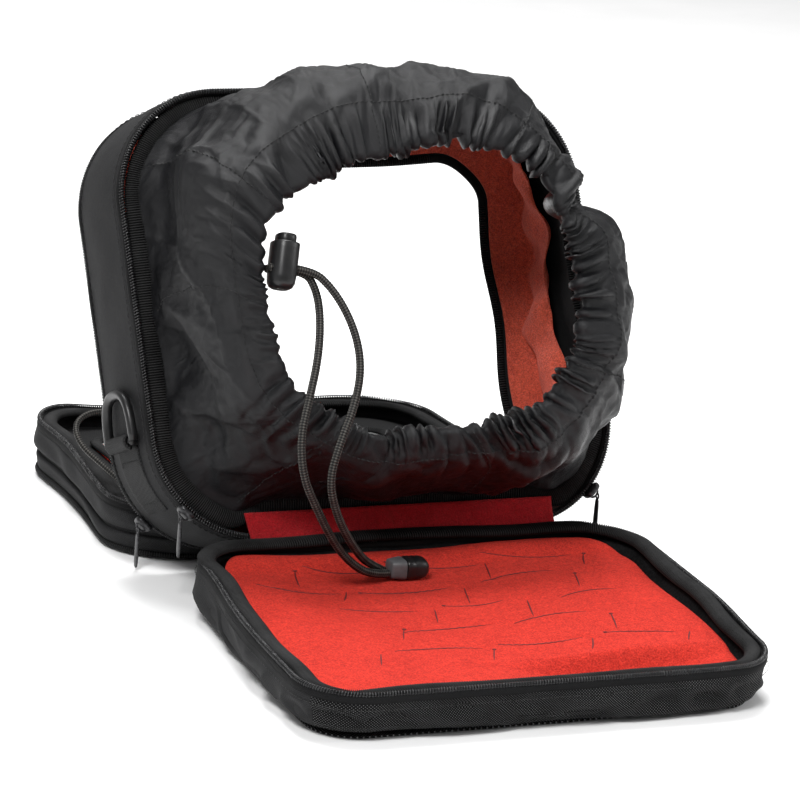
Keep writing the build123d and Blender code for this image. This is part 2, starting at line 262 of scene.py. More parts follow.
def grid(name, points, round_u=True, round_v=False, material=None, caps=False, step=None):
    """A mesh from a (rows, columns, 3) array of points in metres. With a step, the cloth
    axis counts rows evenly instead of measuring them."""
    rows, columns = points.shape[:2]
    mesh = bpy.data.meshes.new(name)
    index = np.arange(rows * columns).reshape(rows, columns)
    next_row = np.roll(index, -1, axis=0)
    next_col = np.roll(index, -1, axis=1)
    both = np.roll(next_row, -1, axis=1)
    last_row = rows if round_u else rows - 1
    last_col = columns if round_v else columns - 1
    quads = np.stack([index, next_row, both, next_col], axis=-1)[:last_row, :last_col]
    faces = quads.reshape(-1, 4).tolist()
    if caps:
        faces.append(index[0].tolist()[::-1])
        faces.append(index[-1].tolist())
    mesh.from_pydata(points.reshape(-1, 3).tolist(), [], faces)
    along = np.linalg.norm(np.diff(points, axis=0), axis=-1).mean(axis=1)
    across = np.linalg.norm(np.diff(points, axis=1), axis=-1).mean(axis=0)
    u = np.concatenate([[0], np.cumsum(along), [along.sum() + along[-1]]])
    v = np.concatenate([[0], np.cumsum(across), [across.sum() + across[-1]]])
    if step:
        u = np.arange(rows + 1) * step * MM
    layer = mesh.uv_layers.new(name="cloth")
    i, j = np.meshgrid(np.arange(last_row), np.arange(last_col), indexing="ij")
    i, j = i.reshape(-1), j.reshape(-1)
    corner_i = np.stack([i, i + 1, i + 1, i], axis=1).reshape(-1)
    corner_j = np.stack([j, j, j + 1, j + 1], axis=1).reshape(-1)
    values = np.stack([u[corner_i], v[corner_j]], axis=1)
    if caps:
        values = np.vstack([values, np.zeros((2 * columns, 2))])
    layer.data.foreach_set("uv", values.astype(np.float32).reshape(-1))
    shade_smooth(mesh)
    made = new_object(name, mesh)
    fix_normals(made)
    if material:
        mesh.materials.append(material)
    return made


def edit_mesh(made, change):
    """Runs a change on a mesh in its editable form."""
    work = bmesh.new()
    work.from_mesh(made.data)
    change(work)
    work.to_mesh(made.data)
    work.free()


def close_middle(made):
    """Merges the innermost ring of a radial sheet into one point."""
    edit_mesh(made, lambda work: bmesh.ops.remove_doubles(work, verts=work.verts, dist=0.00001))


def fix_normals(made):
    edit_mesh(made, lambda work: bmesh.ops.recalc_face_normals(work, faces=work.faces))


def shade_smooth(mesh):
    mesh.polygons.foreach_set("use_smooth", [True] * len(mesh.polygons))


def apply_modifiers(made):
    """Turns an object's modifiers into its mesh."""
    graph = bpy.context.evaluated_depsgraph_get()
    graph.update()
    mesh = bpy.data.meshes.new_from_object(made.evaluated_get(graph))
    made.modifiers.clear()
    made.data = mesh
    return made


def thicken(made, thickness, inner=None):
    """Gives a single sheet a real thickness, in millimetres, and perhaps its own inner face."""
    solid = made.modifiers.new("thick", "SOLIDIFY")
    if inner:
        made.data.materials.append(inner)
        solid.material_offset = 1
    solid.thickness = thickness * MM
    solid.offset = 0.0
    return apply_modifiers(made)


def ring(name, outline, frame_of, profile, count, material, warp=None, step=None):
    """Sweeps a profile of (inset, level) points round an outline."""
    points, normals, shares = outline.walk(count)
    inset = np.array([p[0] for p in profile], float)[None, :]
    level = np.array([p[1] for p in profile], float)[None, :]
    t = shares[:, None]
    inset, level = inset + 0 * t, level + 0 * t
    if warp:
        inset, level = warp(t, inset, level)
    x, y = inset_xy(points, normals, inset)
    return grid(name, frame_of(x, y, level), True, True, material=material, step=step)


def circle(count, turns=1.0):
    """Cosine and sine pairs at even steps, both ends included."""
    angles = [2 * pi * turns * k / (count - 1) for k in range(count)]
    return [(cos(a), sin(a)) for a in angles]


def tube(name, path, radius, material, sides=10, shape=None, caps=True, flat=1.0):
    """A tube along points in metres; shape(i, angle) may change its radius."""
    path = [Vector(p) for p in path]
    tangents = []
    for i in range(len(path)):
        before = path[max(i - 1, 0)]
        after = path[min(i + 1, len(path) - 1)]
        tangents.append((after - before).normalized())
    side = tangents[0].orthogonal().normalized()
    rows = []
    for i, (spot, along) in enumerate(zip(path, tangents)):
        side = (side - along * side.dot(along)).normalized()
        up = along.cross(side)
        row = []
        for k in range(sides):
            angle = 2 * pi * k / sides
            reach = radius * MM * (shape(i, angle) if shape else 1.0)
            row.append(spot + side * cos(angle) * reach + up * sin(angle) * reach * flat)
        rows.append([list(p) for p in row])
    return grid(name, np.array(rows), False, True, material=material, caps=caps)


def join(name, pieces):
    """Joins pieces into one object that keeps its materials."""
    for other in bpy.context.selected_objects:
        other.select_set(False)
    for piece in pieces:
        piece.select_set(True)
    bpy.context.view_layer.objects.active = pieces[0]
    bpy.ops.object.join()
    pieces[0].name = name
    pieces[0].data.name = name
    return pieces[0]


def put(made, body, slot, *nodes):
    """Rides a body and stands for its CAD nodes. The slot is not used."""
    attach(made, body)
    if nodes:
        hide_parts(*nodes)
    return made


# ---- materials ----
RIB = 1.2  # the pitch of the binding's ribs


class Shader:
    """A small helper that wires a procedural material."""

    def __init__(self, name, rough, sheen=0.0, metal=0.0, sheen_tint=None, gloss=0.5):
        self.material = bpy.data.materials.new(name)
        self.material.use_nodes = True
        self.nodes = self.material.node_tree.nodes
        self.links = self.material.node_tree.links
        self.surface = self.nodes["Principled BSDF"]
        self.set("Roughness", rough)
        self.set("Sheen Weight", sheen)
        self.set("Metallic", metal)
        self.set("Specular IOR Level", gloss)
        if sheen_tint:
            self.set("Sheen Tint", (*sheen_tint, 1))
        self.cloth = self.nodes.new("ShaderNodeUVMap")
        self.cloth.uv_map = "cloth"
        self.place = self.nodes.new("ShaderNodeTexCoord")

    def set(self, socket, value):
        self.surface.inputs[socket].default_value = value

    def math(self, kind, a, b=None):
        """A maths node on sockets or plain numbers."""
        node = self.nodes.new("ShaderNodeMath")
        node.operation = kind
        for socket, value in zip(node.inputs, (a, b)):
            if value is None:
                continue
            if isinstance(value, (int, float)):
                socket.default_value = value
            else:
                self.links.new(value, socket)
        return node.outputs[0]

    def axes(self):
        split = self.nodes.new("ShaderNodeSeparateXYZ")
        self.links.new(self.cloth.outputs["UV"], split.inputs[0])
        return split.outputs[0], split.outputs[1]

    def wave(self, axis, pitch):
        """A sine along a cloth axis, with its pitch in millimetres."""
        return self.math("SINE", self.math("MULTIPLY", axis, 2 * pi / (pitch * MM)))

    def noise(self, size, detail=3.0, rough=0.55):
        """Noise in space, with its grain in millimetres."""
        node = self.nodes.new("ShaderNodeTexNoise")
        node.inputs["Scale"].default_value = 1 / (size * MM)
        node.inputs["Detail"].default_value = detail
        node.inputs["Roughness"].default_value = rough
        self.links.new(self.place.outputs["Object"], node.inputs["Vector"])
        return node.outputs["Fac"]

    def mix(self, *parts):
        """A weighted sum of (value, weight) pairs."""
        total = None
        for value, weight in parts:
            part = self.math("MULTIPLY", value, weight)
            total = self.math("ADD", total, part) if total else part
        return total

    def colour(self, value, *stops):
        """Colours the surface by a value, from (value, colour) stops."""
        node = self.nodes.new("ShaderNodeValToRGB")
        ramp = node.color_ramp
        while len(ramp.elements) < len(stops):
            ramp.elements.new(0.5)
        for element, (spot, colour) in zip(ramp.elements, stops):
            element.position = spot
            element.color = (*colour, 1)
        self.links.new(value, node.inputs[0])
        self.links.new(node.outputs[0], self.surface.inputs["Base Color"])

    def roughness(self, value, low, high):
        node = self.nodes.new("ShaderNodeMapRange")
        node.inputs["To Min"].default_value = low
        node.inputs["To Max"].default_value = high
        self.links.new(value, node.inputs["Value"])
        self.links.new(node.outputs[0], self.surface.inputs["Roughness"])

    def bump(self, layers):
        """Stacks bump layers of (height socket, depth in millimetres)."""
        last = None
        for height, depth in layers:
            node = self.nodes.new("ShaderNodeBump")
            node.inputs["Distance"].default_value = depth * MM
            self.links.new(height, node.inputs["Height"])
            if last:
                self.links.new(last, node.inputs["Normal"])
            last = node.outputs[0]
        self.links.new(last, self.surface.inputs["Normal"])


def weave_height(shader, pitch):
    u, v = shader.axes()
    return shader.math("MULTIPLY", shader.wave(u, pitch), shader.wave(v, pitch))


def woven(name, dark, light, pitch, depth, rough=0.75):
    """Plain woven nylon: fine crossing threads with a little worn variation, their crowns painted a little
    paler as a painted highlight and their hollows darker as painted shade.
    """
    shader = Shader(name, rough, gloss=0.15)
    weave = weave_height(shader, pitch)
    broad = shader.noise(28.0, 4)
    fine = shader.noise(0.7, 2)
    # colour: the weave term is a painted highlight on thread crowns and painted shade in the hollows; the
    # noise terms are worn variation
    mixed = shader.mix((weave, 0.16), (broad, 0.5), (fine, 0.65))
    shader.colour(mixed, (0.30, dark), (0.95, light))
    shader.roughness(broad, rough - 0.08, rough + 0.08)
    shader.bump([(broad, 0.9), (fine, 0.12), (weave, depth)])
    return shader.material


def ballistic(name):
    """Coarse basket weave with thread crowns painted bright as a painted highlight and hollows painted near
    black as painted shade.
    """
    shader = Shader(name, 0.6, gloss=0.15)
    u, v = shader.axes()
    pitch = 2.8
    one = shader.math("ADD", u, v)
    two = shader.math("SUBTRACT", u, v)
    over = shader.math("MULTIPLY", shader.wave(one, pitch), shader.wave(two, pitch))
    over = shader.math("POWER", shader.math("ABSOLUTE", over), 2.0)
    broad = shader.noise(20.0, 3)
    fine = shader.noise(0.5, 2)
    # colour: bright thread crowns are a painted highlight and dark hollows are painted shade, over a broad
    # random tone
    mixed = shader.mix((over, 0.8), (broad, 0.25))
    stops = [(0.3, (0.0008, 0.0008, 0.0009)), (0.62, (0.012, 0.012, 0.0125)), (0.95, (0.30, 0.30, 0.305))]
    shader.colour(mixed, *stops)
    shader.roughness(over, 0.8, 0.5)
    shader.bump([(broad, 1.5), (fine, 0.1), (over, 0.7)])
    return shader.material


def hood_nylon(name):
    """Thin coated nylon: a fine weave under a soft satin sheen."""
    shader = Shader(name, 0.42, gloss=0.27)
    weave = weave_height(shader, 0.55)
    crush = shader.noise(9.0, 5, 0.6)
    broad = shader.noise(45.0, 3)
    shader.colour(broad, (0.3, (0.0034, 0.0034, 0.0041)), (0.75, (0.0050, 0.0051, 0.0062)))
    shader.roughness(broad, 0.39, 0.43)
    shader.bump([(crush, 0.1), (weave, 0.05)])
    return shader.material


def grosgrain(name):
    """Ribbed binding tape: crowns painted paler as a painted highlight and valleys painted black as painted
    shade, a rib's pitch apart, over a random tone.
    """
    shader = Shader(name, 0.7, gloss=0.1)
    u, _ = shader.axes()
    rib = shader.wave(shader.math("ADD", u, RIB / 4 * MM), RIB)
    fine = shader.noise(0.5, 2)
    broad = shader.noise(15.0, 3)
    # colour: the rib wave paints a highlight on the crowns and shade in the valleys; the noise terms are a
    # random tone
    mixed = shader.mix((fine, 0.5), (broad, 0.5), (rib, 0.28))
    shader.colour(mixed, (0.3, (0.0008, 0.0008, 0.0008)), (0.9, (0.03, 0.03, 0.0305)))
    shader.bump([(broad, 0.4), (fine, 0.12), (rib, 0.12)])
    return shader.material


def coated(name):
    """The hood's coated inner face, paler and shinier than its outside."""
    shader = Shader(name, 0.3, gloss=0.6)
    crush = shader.noise(7.0, 5, 0.65)
    broad = shader.noise(30.0, 3)
    shader.colour(broad, (0.3, (0.008, 0.008, 0.009)), (0.75, (0.02, 0.02, 0.022)))
    shader.roughness(crush, 0.22, 0.42)
    shader.bump([(broad, 2.0), (crush, 1.0)])
    return shader.material


def fleece(name, dark, light, sheen=0.12):
    """Brushed fleece with short raised fibres."""
    shader = Shader(name, 0.92, sheen, sheen_tint=(1.0, 0.35, 0.3), gloss=0.15)
    shader.set("Sheen Roughness", 0.5)
    fibre = shader.noise(0.8, 6, 0.8)
    nap = shader.noise(3.2, 4, 0.65)
    broad = shader.noise(35.0, 3)
    mixed = shader.mix((fibre, 0.75), (nap, 0.2), (broad, 0.1))
    shader.colour(mixed, (0.39, dark), (0.65, light))
    shader.bump([(broad, 1.5), (nap, 0.8), (fibre, 0.9)])
    return shader.material


def loop_pile(name):
    """Dark napped loop fabric inside the covers."""
    shader = Shader(name, 0.95, gloss=0.1)
    pile = shader.noise(1.3, 5, 0.7)
    broad = shader.noise(18.0, 3)
    mixed = shader.mix((pile, 0.7), (broad, 0.3))
    shader.colour(mixed, (0.35, (0.0015, 0.0015, 0.0016)), (0.75, (0.02, 0.02, 0.021)))
    shader.bump([(broad, 1.0), (pile, 0.9)])
    return shader.material


def moulded(name, dark, light, rough, grain=0.25):
    """Moulded plastic with a fine spark-eroded texture and a broad uneven tone."""
    shader = Shader(name, rough, gloss=0.4)
    fine = shader.noise(grain, 3)
    broad = shader.noise(6.0, 4)
    shader.colour(broad, (0.3, dark), (0.8, light))
    shader.roughness(broad, rough - 0.07, rough + 0.1)
    shader.bump([(fine, 0.03)])
    return shader.material


def lacquer(name):
    """Black lacquered metal, rubbed a little bright."""
    shader = Shader(name, 0.35, metal=0.6)
    wear = shader.noise(1.6, 5, 0.7)
    shader.colour(wear, (0.4, (0.012, 0.012, 0.013)), (0.8, (0.09, 0.09, 0.095)))
    shader.roughness(wear, 0.25, 0.5)
    shader.bump([(wear, 0.05)])
    return shader.material


def braid(name):
    """Braided cord: crossing diagonal plaits, their crowns painted paler as a painted highlight and their
    hollows darker as painted shade.
    """
    shader = Shader(name, 0.6, gloss=0.25)
    u, v = shader.axes()
    one = shader.wave(shader.math("ADD", u, shader.math("MULTIPLY", v, 0.7)), 2.6)
    two = shader.wave(shader.math("SUBTRACT", u, shader.math("MULTIPLY", v, 0.7)), 2.6)
    plait = shader.math("MULTIPLY", one, two)
    fine = shader.noise(0.35, 3)
    # colour: the plait term paints a highlight on crowns and shade in hollows; the fine noise is a random
    # tone
    mixed = shader.mix((plait, 0.55), (fine, 0.6))
    shader.colour(mixed, (0.15, (0.0006, 0.0006, 0.0006)), (0.85, (0.075, 0.07, 0.062)))
    shader.bump([(fine, 0.1), (plait, 0.2)])
    return shader.material


def vinyl(name):
    """Clear flexible vinyl, a little hazy and rippled."""
    shader = Shader(name, 0.12)
    haze = shader.noise(14.0, 5, 0.6)
    shader.set("Transmission Weight", 0.75)
    shader.set("IOR", 1.45)
    shader.colour(haze, (0.3, (0.55, 0.56, 0.55)), (0.8, (0.8, 0.81, 0.8)))
    shader.roughness(haze, 0.06, 0.2)
    shader.bump([(haze, 1.6)])
    return shader.material


def thread(name, colour):
    """Sewing thread with a little paler fuzz."""
    shader = Shader(name, 0.7)
    fine = shader.noise(0.4, 2)
    pale = tuple(min(1.0, c * 2.2 + 0.002) for c in colour)
    shader.colour(fine, (0.3, colour), (0.8, pale))
    shader.bump([(fine, 0.05)])
    return shader.material


NYLON = woven("woven nylon", (0.005, 0.005, 0.0054), (0.027, 0.027, 0.028), 1.3, 0.05)
# a darker copy of the woven nylon: painted shade for the recessed rear flange and rear pocket
SHADED_NYLON = woven("woven nylon with painted shade", (0.0015, 0.0015, 0.0017), (0.012, 0.012, 0.0125), 1.3, 0.05)
BALLISTIC = ballistic("ballistic nylon")
HOOD = hood_nylon("hood nylon")
HOOD_INSIDE = coated("coated hood lining")
BINDING = grosgrain("ribbed binding")
RED = fleece("red fleece", (0.34, 0.010, 0.007), (0.86, 0.052, 0.031), 0.07)
RED_INSIDE = fleece("red lining fleece", (0.34, 0.022, 0.010), (1.0, 0.16, 0.08), 1.0)
# a darker copy of the red fleece: painted shade for the strip recessed under the bindings
RED_STRIP_SHADED = fleece("red hinge fleece with painted shade", (0.19, 0.003, 0.006), (0.48, 0.010, 0.017))
PILE = loop_pile("loop pile")
COIL = moulded("zip coil", (0.006, 0.006, 0.0065), (0.022, 0.022, 0.023), 0.25, 0.5)
TAPE = woven("zip tape", (0.002, 0.002, 0.0022), (0.009, 0.009, 0.0095), 1.1, 0.12, 0.8)
PLASTIC = moulded("moulded plastic", (0.004, 0.004, 0.0043), (0.012, 0.012, 0.0125), 0.34)
CAP_GREY = moulded("grey plastic", (0.055, 0.055, 0.058), (0.10, 0.10, 0.105), 0.5)
METAL = lacquer("lacquered metal")
CORD = braid("braided cord")
VINYL = vinyl("clear vinyl")
WEBBING = woven("webbing", (0.003, 0.003, 0.0032), (0.03, 0.03, 0.0305), 1.6, 0.22, 0.7)
THREAD = thread("black thread", (0.0015, 0.0015, 0.0017))
# the quilting thread is real; its dark colour also paints shade in the pad's creases
CREASE_SHADE_THREAD = thread("dark red thread with painted crease shade", (0.07, 0.003, 0.003))


# ---- camera, stage and lights ----
def make_camera():
    """Looks from the front left, a little above, with a small roll."""
    azimuth, elevation, roll = radians(-25.3), radians(14.8), radians(4.29)
    distance, focal = 2.1456, 202.57
    aim_right, aim_up = -0.00503, 0.091
    back = Vector((sin(azimuth) * cos(elevation), -cos(azimuth) * cos(elevation), sin(elevation)))
    right = Vector((cos(azimuth), sin(azimuth), 0))
    up = back.cross(right)
    rolled_right = right * cos(roll) + up * sin(roll)
    rolled_up = up * cos(roll) - right * sin(roll)
    target = right * aim_right + up * aim_up + Vector((SHIFT_X, SHIFT_Y, 0))
    data = bpy.data.cameras.new("camera")
    data.lens = focal
    data.sensor_width = 36
    data.clip_start, data.clip_end = 0.05, 20
    camera = bpy.data.objects.new("camera", data)
    bpy.context.scene.collection.objects.link(camera)
    turn = Matrix((rolled_right, rolled_up, back)).transposed().to_4x4()
    camera.matrix_world = Matrix.Translation(target + back * distance) @ turn
    bpy.context.scene.camera = camera


def area_light(name, where, aim, size, power):
    """A rectangular light at a place, turned to its aim; metres and watts."""
    data = bpy.data.lights.new(name, "AREA")
    data.shape = "RECTANGLE"
    data.size, data.size_y = size
    data.energy = power
    light = bpy.data.objects.new(name, data)
    light.location = where
    light.rotation_mode = "QUATERNION"
    light.rotation_quaternion = (Vector(aim) - Vector(where)).to_track_quat("-Z", "Y")
    bpy.context.scene.collection.objects.link(light)


def make_stage():
    """A pale floor and three soft area lights under an even white world."""
    mesh = bpy.data.meshes.new("floor")
    reach = 6.0
    corners = [(-reach, -reach), (reach, -reach), (reach, reach), (-reach, reach)]
    mesh.from_pydata([(x, y, -0.0003) for x, y in corners], [], [(0, 1, 2, 3)])
    floor = new_object("floor", mesh)
    pale = Shader("pale floor", 0.9)
    grain = pale.noise(60.0, 2)
    pale.colour(grain, (0.3, (0.90, 0.90, 0.90)), (0.7, (0.93, 0.93, 0.93)))
    mesh.materials.append(pale.material)
    world = bpy.data.worlds.new("studio")
    world.use_nodes = True
    world.node_tree.nodes["Background"].inputs[0].default_value = (1, 1, 1, 1)
    world.node_tree.nodes["Background"].inputs[1].default_value = 0.42
    bpy.context.scene.world = world
    bpy.context.scene.view_settings.view_transform = "Standard"
    area_light("key", (-0.9, -0.95, 1.5), (0, 0, 0.1), (0.6, 0.5), 28)
    area_light("fill", (1.3, -0.9, 0.9), (0, 0, 0.1), (0.6, 0.6), 7)
    area_light("top", (0.1, 0.55, 1.7), (0, 0, 0.1), (0.9, 0.9), 42)


# ---- drawcord strands, elastic and what is on them ----
STRAND_A = [
    (-84.8, -13.7, 164.1),
    (-65.5, -13.9, 163.5),
    (-61.0, -20.0, 154.0),
    (-62.5, -29.5, 142.5),
    (-67.5, -41.0, 128.0),
    (-74.5, -50.0, 112.0),
    (-80.5, -56.5, 96.0),
    (-79.5, -60.0, 78.0),
    (-70.0, -57.5, 61.0),
    (-60.0, -53.0, 45.5),
    (-48.5, -48.5, 32.5),
    (-35.5, -45.0, 24.2),
    (-24.7, -41.0, 23.2),
]
STRAND_B = [
    (-84.8, -17.5, 165.7),
    (-64.5, -17.7, 165.2),
    (-54.0, -25.0, 155.0),
    (-48.0, -36.0, 140.0),
    (-47.5, -45.5, 124.5),
    (-53.0, -53.0, 108.5),
    (-62.0, -59.5, 93.0),
    (-67.5, -62.5, 76.5),
    (-62.0, -60.0, 60.5),
    (-53.0, -55.0, 46.5),
    (-42.5, -48.0, 34.5),
    (-33.0, -39.5, 27.5),
    (-24.9, -36.6, 23.2),
]
ELASTIC = [
    (-93.0, 87.0, 18.0),
    (-101.0, 95.0, 28.0),
    (-111.0, 105.0, 37.0),
    (-120.0, 116.0, 45.0),
    (-120.0, 127.0, 53.0),
    (-110.0, 131.0, 58.0),
    (-94.0, 132.0, 56.0),
    (-76.0, 134.0, 48.0),
    (-59.0, 139.0, 37.0),
    (-43.0, 146.0, 27.0),
    (-26.0, 153.0, 20.4),
    (-8.0, 158.0, 19.2),
]


def nurbs_line(route):
    """Evenly read points of the smooth cord line that a route's points control."""
    data = bpy.data.curves.new("route", "CURVE")
    data.dimensions = "3D"
    data.resolution_u = 24
    spline = data.splines.new("NURBS")
    spline.points.add(len(route) - 1)
    for spot, (x, y, z) in zip(spline.points, route):
        spot.co = (*place(x, y, z), 1)
    spline.order_u = 3
    spline.use_endpoint_u = True
    holder = new_object("route", data)
    mesh = bpy.data.meshes.new_from_object(holder)
    points = [v.co.copy() for v in mesh.vertices]
    bpy.data.objects.remove(holder)
    return points


def resample(points, step):
    """Points a fixed distance apart along a line, its ends kept."""
    gaps = [0.0]
    for a, b in zip(points, points[1:]):
        gaps.append(gaps[-1] + (b - a).length)
    count = max(2, round(gaps[-1] / step))
    spots = np.linspace(0, gaps[-1], count + 1)
    lanes = [np.interp(spots, gaps, [p[i] for p in points]) for i in range(3)]
    return [Vector(p) for p in zip(*lanes)], gaps[-1]


STRAND_DIAMETER = 4.0
ELASTIC_DIAMETER = 3.0
STRAND_STEP = 0.45
PLAIT_PITCH = 3.1


def make_strand(name, route, diameter):
    """A braided cord along a route, with its line and length."""
    line, length = resample(nurbs_line(route), STRAND_STEP * MM)
    sides = 16

    def plaited(i, angle):
        along = i * STRAND_STEP
        one = sin(2 * pi * along / PLAIT_PITCH + 2 * angle)
        two = sin(2 * pi * along / PLAIT_PITCH - 2 * angle)
        return 0.95 + 0.07 * one * two

    strand = tube(name, line, diameter / 2, CORD, sides, plaited)
    return strand, line, length


def make_cords():
    """The two drawcord strands and the elastic loop on the rear cover."""
    cap, body = make_cord_end()
    for name, route in (("cord_strand_a", STRAND_A), ("cord_strand_b", STRAND_B)):
        strand, line, length = make_strand(name + "_braid", route, STRAND_DIAMETER)
        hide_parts(name)
        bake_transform(strand)
    elastic, line, length = make_strand("elastic_loop_cord", ELASTIC, ELASTIC_DIAMETER)
    put(elastic, "rear_cover", "cord_black", "elastic_loop")


def rounded_block(name, stations, material, sides=40):
    """Lofts superellipse sections: (centre, axis_a, axis_b, half_a, half_b, power)."""
    rows = []
    for centre, axis_a, axis_b, half_a, half_b, power in stations:
        row = []
        for k in range(sides):
            angle = 2 * pi * k / sides
            ca, sa = cos(angle), sin(angle)
            a = half_a * np.sign(ca) * abs(ca) ** (2 / power)
            b = half_b * np.sign(sa) * abs(sa) ** (2 / power)
            row.append(list(centre + axis_a * (a * MM) + axis_b * (b * MM)))
        rows.append(row)
    return grid(name, np.array(rows), False, True, material=material, caps=True)


def make_cord_end():
    """A tapered grey cap where the cords enter, and a rounded body behind it."""
    low, high = box("cord_end_cap")
    body_low, body_high = box("cord_end_body")
    middle = (low + high) / 2
    across, up = Vector((0, 1, 0)), Vector((0, 0, 1))
    thick = (body_high.z - body_low.z) / (7 * MM)

    def stations(start, end, shape):
        made = []
        for share, wide, tall, power in shape:
            tall = tall * thick
            spot = Vector((start + (end - start) * share, middle.y, middle.z))
            made.append((spot, across, up, wide, tall, power))
        return made

    cap_shape = [
        (0.00, 3.2, 1.8, 4), (0.03, 4.1, 2.6, 4), (0.10, 4.5, 2.95, 4), (0.60, 5.4, 3.25, 4),
        (0.93, 5.85, 3.4, 4), (0.98, 5.7, 3.25, 4), (1.00, 5.2, 2.9, 4),
    ]
    body_shape = [
        (0.00, 5.1, 2.8, 3.4), (0.03, 5.8, 3.3, 3.4), (0.08, 6.0, 3.5, 3.4), (0.30, 6.0, 3.5, 3.2),
        (0.34, 5.8, 3.3, 3.2), (0.40, 5.8, 3.3, 3.2), (0.44, 6.0, 3.5, 3.2), (0.72, 5.9, 3.4, 3.0),
        (0.86, 5.5, 3.1, 2.8), (0.95, 4.6, 2.3, 2.6), (1.00, 3.2, 1.3, 2.4),
    ]
    cap = rounded_block("cord_end_cap_grey", stations(low.x, high.x, cap_shape), CAP_GREY)
    put(cap, "cord_end", "cap_grey", "cord_end_cap")
    body = rounded_block(
        "cord_end_body_black", stations(body_low.x, body_high.x, body_shape), PLASTIC
    )
    put(body, "cord_end", "moulded_black", "cord_end_body")
    return cap, body


# ---- cord lock ----
LOCK = (-76.7, 121.7, 65.0)
LOCK_TILT = radians(12)


def lock_point(a, b, t):
    """Across, out and up from the middle of the cord lock, which leans to the right."""
    x = a * cos(LOCK_TILT) + t * sin(LOCK_TILT)
    up = t * cos(LOCK_TILT) - a * sin(LOCK_TILT)
    return point(on_band, LOCK[0] + x, LOCK[1] + up, LOCK[2] + b)


def make_cord_lock():
    """An oval barrel, its push button, and the spring between them."""
    across = direction(lock_point, 1, 0, 0)
    out = direction(lock_point, 0, 1, 0)

    def stations(shape):
        return [(lock_point(0, 0, t), across, out, a, b, power) for t, a, b, power in shape]

    barrel = rounded_block("cord_lock_barrel_shell", stations([
        (-12.9, 2.2, 2.6, 2.2), (-12.6, 4.0, 4.8, 2.3), (-11.8, 5.2, 6.3, 2.4),
        (-10.2, 6.0, 7.2, 2.5), (-7.0, 6.3, 7.6, 2.6), (0.0, 6.4, 7.7, 2.6), (6.0, 6.4, 7.7, 2.6),
        (8.3, 6.4, 7.7, 2.6), (8.9, 6.2, 7.5, 2.6), (9.0, 5.6, 6.9, 2.6), (8.6, 4.9, 6.2, 2.7),
        (6.5, 4.75, 6.05, 2.7),
    ]), PLASTIC)
    put(barrel, "cord_lock", "moulded_black", "cord_lock_barrel")
    plunger = rounded_block("cord_lock_plunger_button", stations([
        (5.0, 4.5, 5.8, 2.7), (11.8, 4.5, 5.8, 2.7), (12.6, 4.3, 5.6, 2.7), (13.0, 3.8, 5.1, 2.7),
        (13.0, 2.6, 4.0, 2.7), (12.6, 2.3, 3.7, 2.7), (12.5, 1.2, 2.4, 2.6),
    ]), PLASTIC)
    put(plunger, "cord_lock_plunger", "moulded_black", "cord_lock_plunger")
    spring_line = []
    for k in range(90):
        angle = 2 * pi * k / 18
        height = -11.0 + 3.4 * k / 89
        spring_line.append(lock_point(3.6 * cos(angle), 4.7 * sin(angle), height))
    spring = tube("cord_lock_spring_wire", spring_line, 0.3, METAL, 8)
    put(spring, "cord_lock", "spring_steel", "cord_lock_spring")


# ---- zips ----
COIL_PITCH = 1.35
COIL_INSET = 1.2
COIL_HALF_WIDTH = 1.15
COIL_HALF_HEIGHT = 0.95
COIL_WIRE = 0.36  # radius
TAPE_DEPTH = 3.0


def coil(side, outline, frame_of, body, level):
    """One half of a coil zip: a flattened helix along the outline."""
    turns = int(outline.length / COIL_PITCH)
    steps = 8
    points, normals, _ = outline.walk(turns * steps, closed=False)
    angles = 2 * pi * np.arange(turns * steps) / steps
    sideways = COIL_INSET + COIL_HALF_WIDTH * np.cos(angles)
    lift = level + COIL_HALF_HEIGHT * np.sin(angles)
    x = points[:, 0] - normals[:, 0] * sideways
    y = points[:, 1] - normals[:, 1] * sideways
    line = frame_of(x, y, lift)
    made = tube(side + "_coil", line, COIL_WIRE, COIL, 5)
    return put(made, body, "zip_coil", side + "_zip_coil")


def tape_ring(side, outline, frame_of, body, level, sign=1):
    """The stiff tape that carries the coil, turned over the wall's edge; its sign is -1
    where the edge faces back."""
    profile = [
        (-0.25, level - TAPE_DEPTH * sign), (-0.45, level - TAPE_DEPTH * 0.5 * sign),
        (-0.15, level - 0.1 * sign), (0.5, level + 0.15 * sign), (2.0, level + 0.1 * sign),
        (2.9, level - 0.4 * sign), (3.0, level - TAPE_DEPTH * sign),
    ]

    def warp(t, inset, lift):
        return inset + 0.25 * ripple(t, 71, 10, 30), lift

    made = ring(side + "_tape", outline, frame_of, profile, 500, TAPE, warp)
    return put(made, body, "zip_tape", side + "_zip_tape")


def oval(centre, level, width, height, tilt=0.0):
    """A ten-sided oval section as (inset, level) points."""
    profile = []
    for k in range(10):
        angle = 2 * pi * k / 10
        a = width / 2 * cos(angle)
        b = height / 2 * sin(angle)
        profile.append((centre + a * cos(tilt) - b * sin(tilt), level + a * sin(tilt) + b * cos(tilt)))
    return profile


def ribbed(name, outline, frame_of, body, node, centre, level, width, height, warp=None, tilt=0.0):
    """Grosgrain binding folded over an edge, with its ribs as geometry."""
    per_rib = 4
    count = int(outline.length / RIB) * per_rib
    profile = oval(centre, level, width, height, tilt)

    def ribs(t, inset, lift):
        phase = np.cos(2 * pi * np.round(t * count) / per_rib)
        inset = centre + (inset - centre) * (1 + 0.04 * phase)
        lift = level + (lift - level) * (1 + 0.26 * phase)
        if warp:
            inset, lift = warp(t, inset, lift)
        return inset, lift

    made = ring(name, outline, frame_of, profile, count, BINDING, ribs, step=RIB / per_rib)
    return put(made, body, "binding_black", node)


